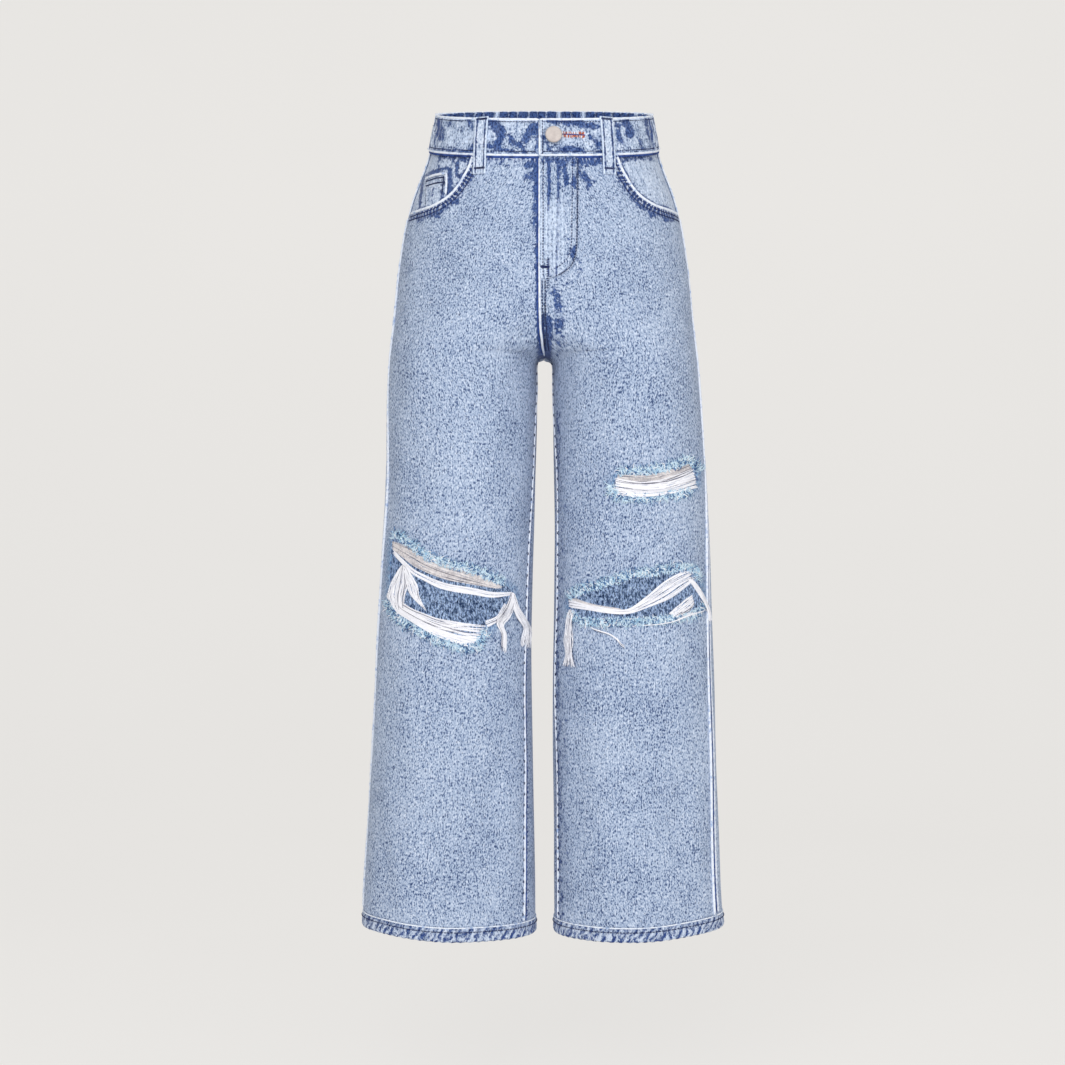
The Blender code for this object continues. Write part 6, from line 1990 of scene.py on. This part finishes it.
# ---------------------------------------------------------------- studio
@dataclass
class Studio:
    """A pale seamless floor, soft even light and the camera of the photograph."""

    floor_height: float = -1.05
    paper: tuple[int, int, int] = (233, 231, 228)

    def sweep(self) -> None:
        """A floor that curves up behind into a wall, softly lit."""
        maker = bmesh.new()
        radius, back, wall = 1.6, 3.4, 4.5
        profile = [(-6.0, 0.0), (back - radius, 0.0)]
        profile += [(back - radius + radius * math.sin(a), radius - radius * math.cos(a))
                    for a in np.linspace(0.1, math.pi / 2, 14)]
        profile.append((back, wall))
        verts = [maker.verts.new((-6.0, y, self.floor_height + z)) for y, z in profile]
        edges = [maker.edges.new(pair) for pair in zip(verts, verts[1:])]
        grown = bmesh.ops.extrude_edge_only(maker, edges=edges)
        moved = [g for g in grown["geom"] if isinstance(g, bmesh.types.BMVert)]
        bmesh.ops.translate(maker, verts=moved, vec=(12.0, 0, 0))
        item = linked("floor", smoothed(mesh_of("floor", maker)))
        made, w, shader = fresh_material("paper")
        paler, darker = tone(*self.paper), tone(*[value - 2 for value in self.paper])
        colour = w.mix(w.noise(w.place(), 1.5, 2.0), paler, darker)
        w.dress(shader, Base_Color=w.mix(1.0, colour, (0.30, 0.30, 0.30, 1), "MULTIPLY"), Roughness=1.0,
                Specular_IOR_Level=0.0, Emission_Color=colour, Emission_Strength=0.80)
        item.data.materials.append(made)

    def lights(self) -> None:
        """An even surround, with large soft lights from the front left, right and above."""
        world = bpy.data.worlds.new("surround")
        bpy.context.scene.world = world
        world.use_nodes = True
        backdrop = world.node_tree.nodes["Background"]
        backdrop.inputs["Color"].default_value = (0.97, 0.98, 1.0, 1)
        backdrop.inputs["Strength"].default_value = 0.32
        for name, place, size, power in (
            ("key", (-0.8, -3.1, 1.0), 2.0, 52.0), ("fill", (1.3, -3.0, 0.1), 2.2, 37.0),
            ("top", (0.2, -0.6, 2.4), 2.0, 12.0),
        ):
            lamp = bpy.data.lights.new(name, "AREA")
            lamp.shape, lamp.size, lamp.energy = "SQUARE", size, power
            item = linked(name, lamp)
            item.location = place
            aim = Vector((0, 0, -0.42)) - Vector(place)
            item.rotation_euler = aim.to_track_quat("-Z", "Y").to_euler()

    def camera(self) -> None:
        """The photograph's level view."""
        lens = bpy.data.cameras.new("camera")
        lens.sensor_width, lens.lens = 36.0, 63.16
        lens.clip_start, lens.clip_end = 0.05, 60.0
        item = linked("camera", lens)
        item.location = (FORM.lens_across * MM, -FORM.lens_away * MM, FORM.lens_height * MM)
        item.rotation_euler = (math.pi / 2, 0, 0)
        bpy.context.scene.camera = item

    def build(self) -> None:
        """Set the whole studio."""
        self.camera()
        self.sweep()
        self.lights()
        view = bpy.context.scene.view_settings
        view.view_transform, view.look = "Standard", "None"
        view.exposure, view.gamma = 0.0, 1.0


def main() -> None:
    """Dress the frame, class by class, and report each piece."""
    logging.basicConfig(level=logging.INFO, format="%(name)s: %(message)s")
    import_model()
    Studio().build()
    shop = Workshop(Finishes().build())
    rips = [Rip(spec, shop) for spec in RIPS]
    for side in SIDES:
        LegPanel(side, FRONT, shop, [rip for rip in rips if rip.spec.side == side]).build()
        LegPanel(side, BACK, shop, columns=100).build()
        Yoke(side, shop).build()
        Hem(side, shop).build()
    for rip in rips:
        rip.build()
    Waistband(shop).build()
    Patches(shop).build()
    SeamWork(shop).build()
    ButtonAndHole(shop).build()
    total = sum(len(item.data.polygons) for item in bpy.context.scene.objects if item.type == "MESH")
    LOG.info("all meshes: %d faces before their walls", total)


if __name__ == "__main__":
    main()
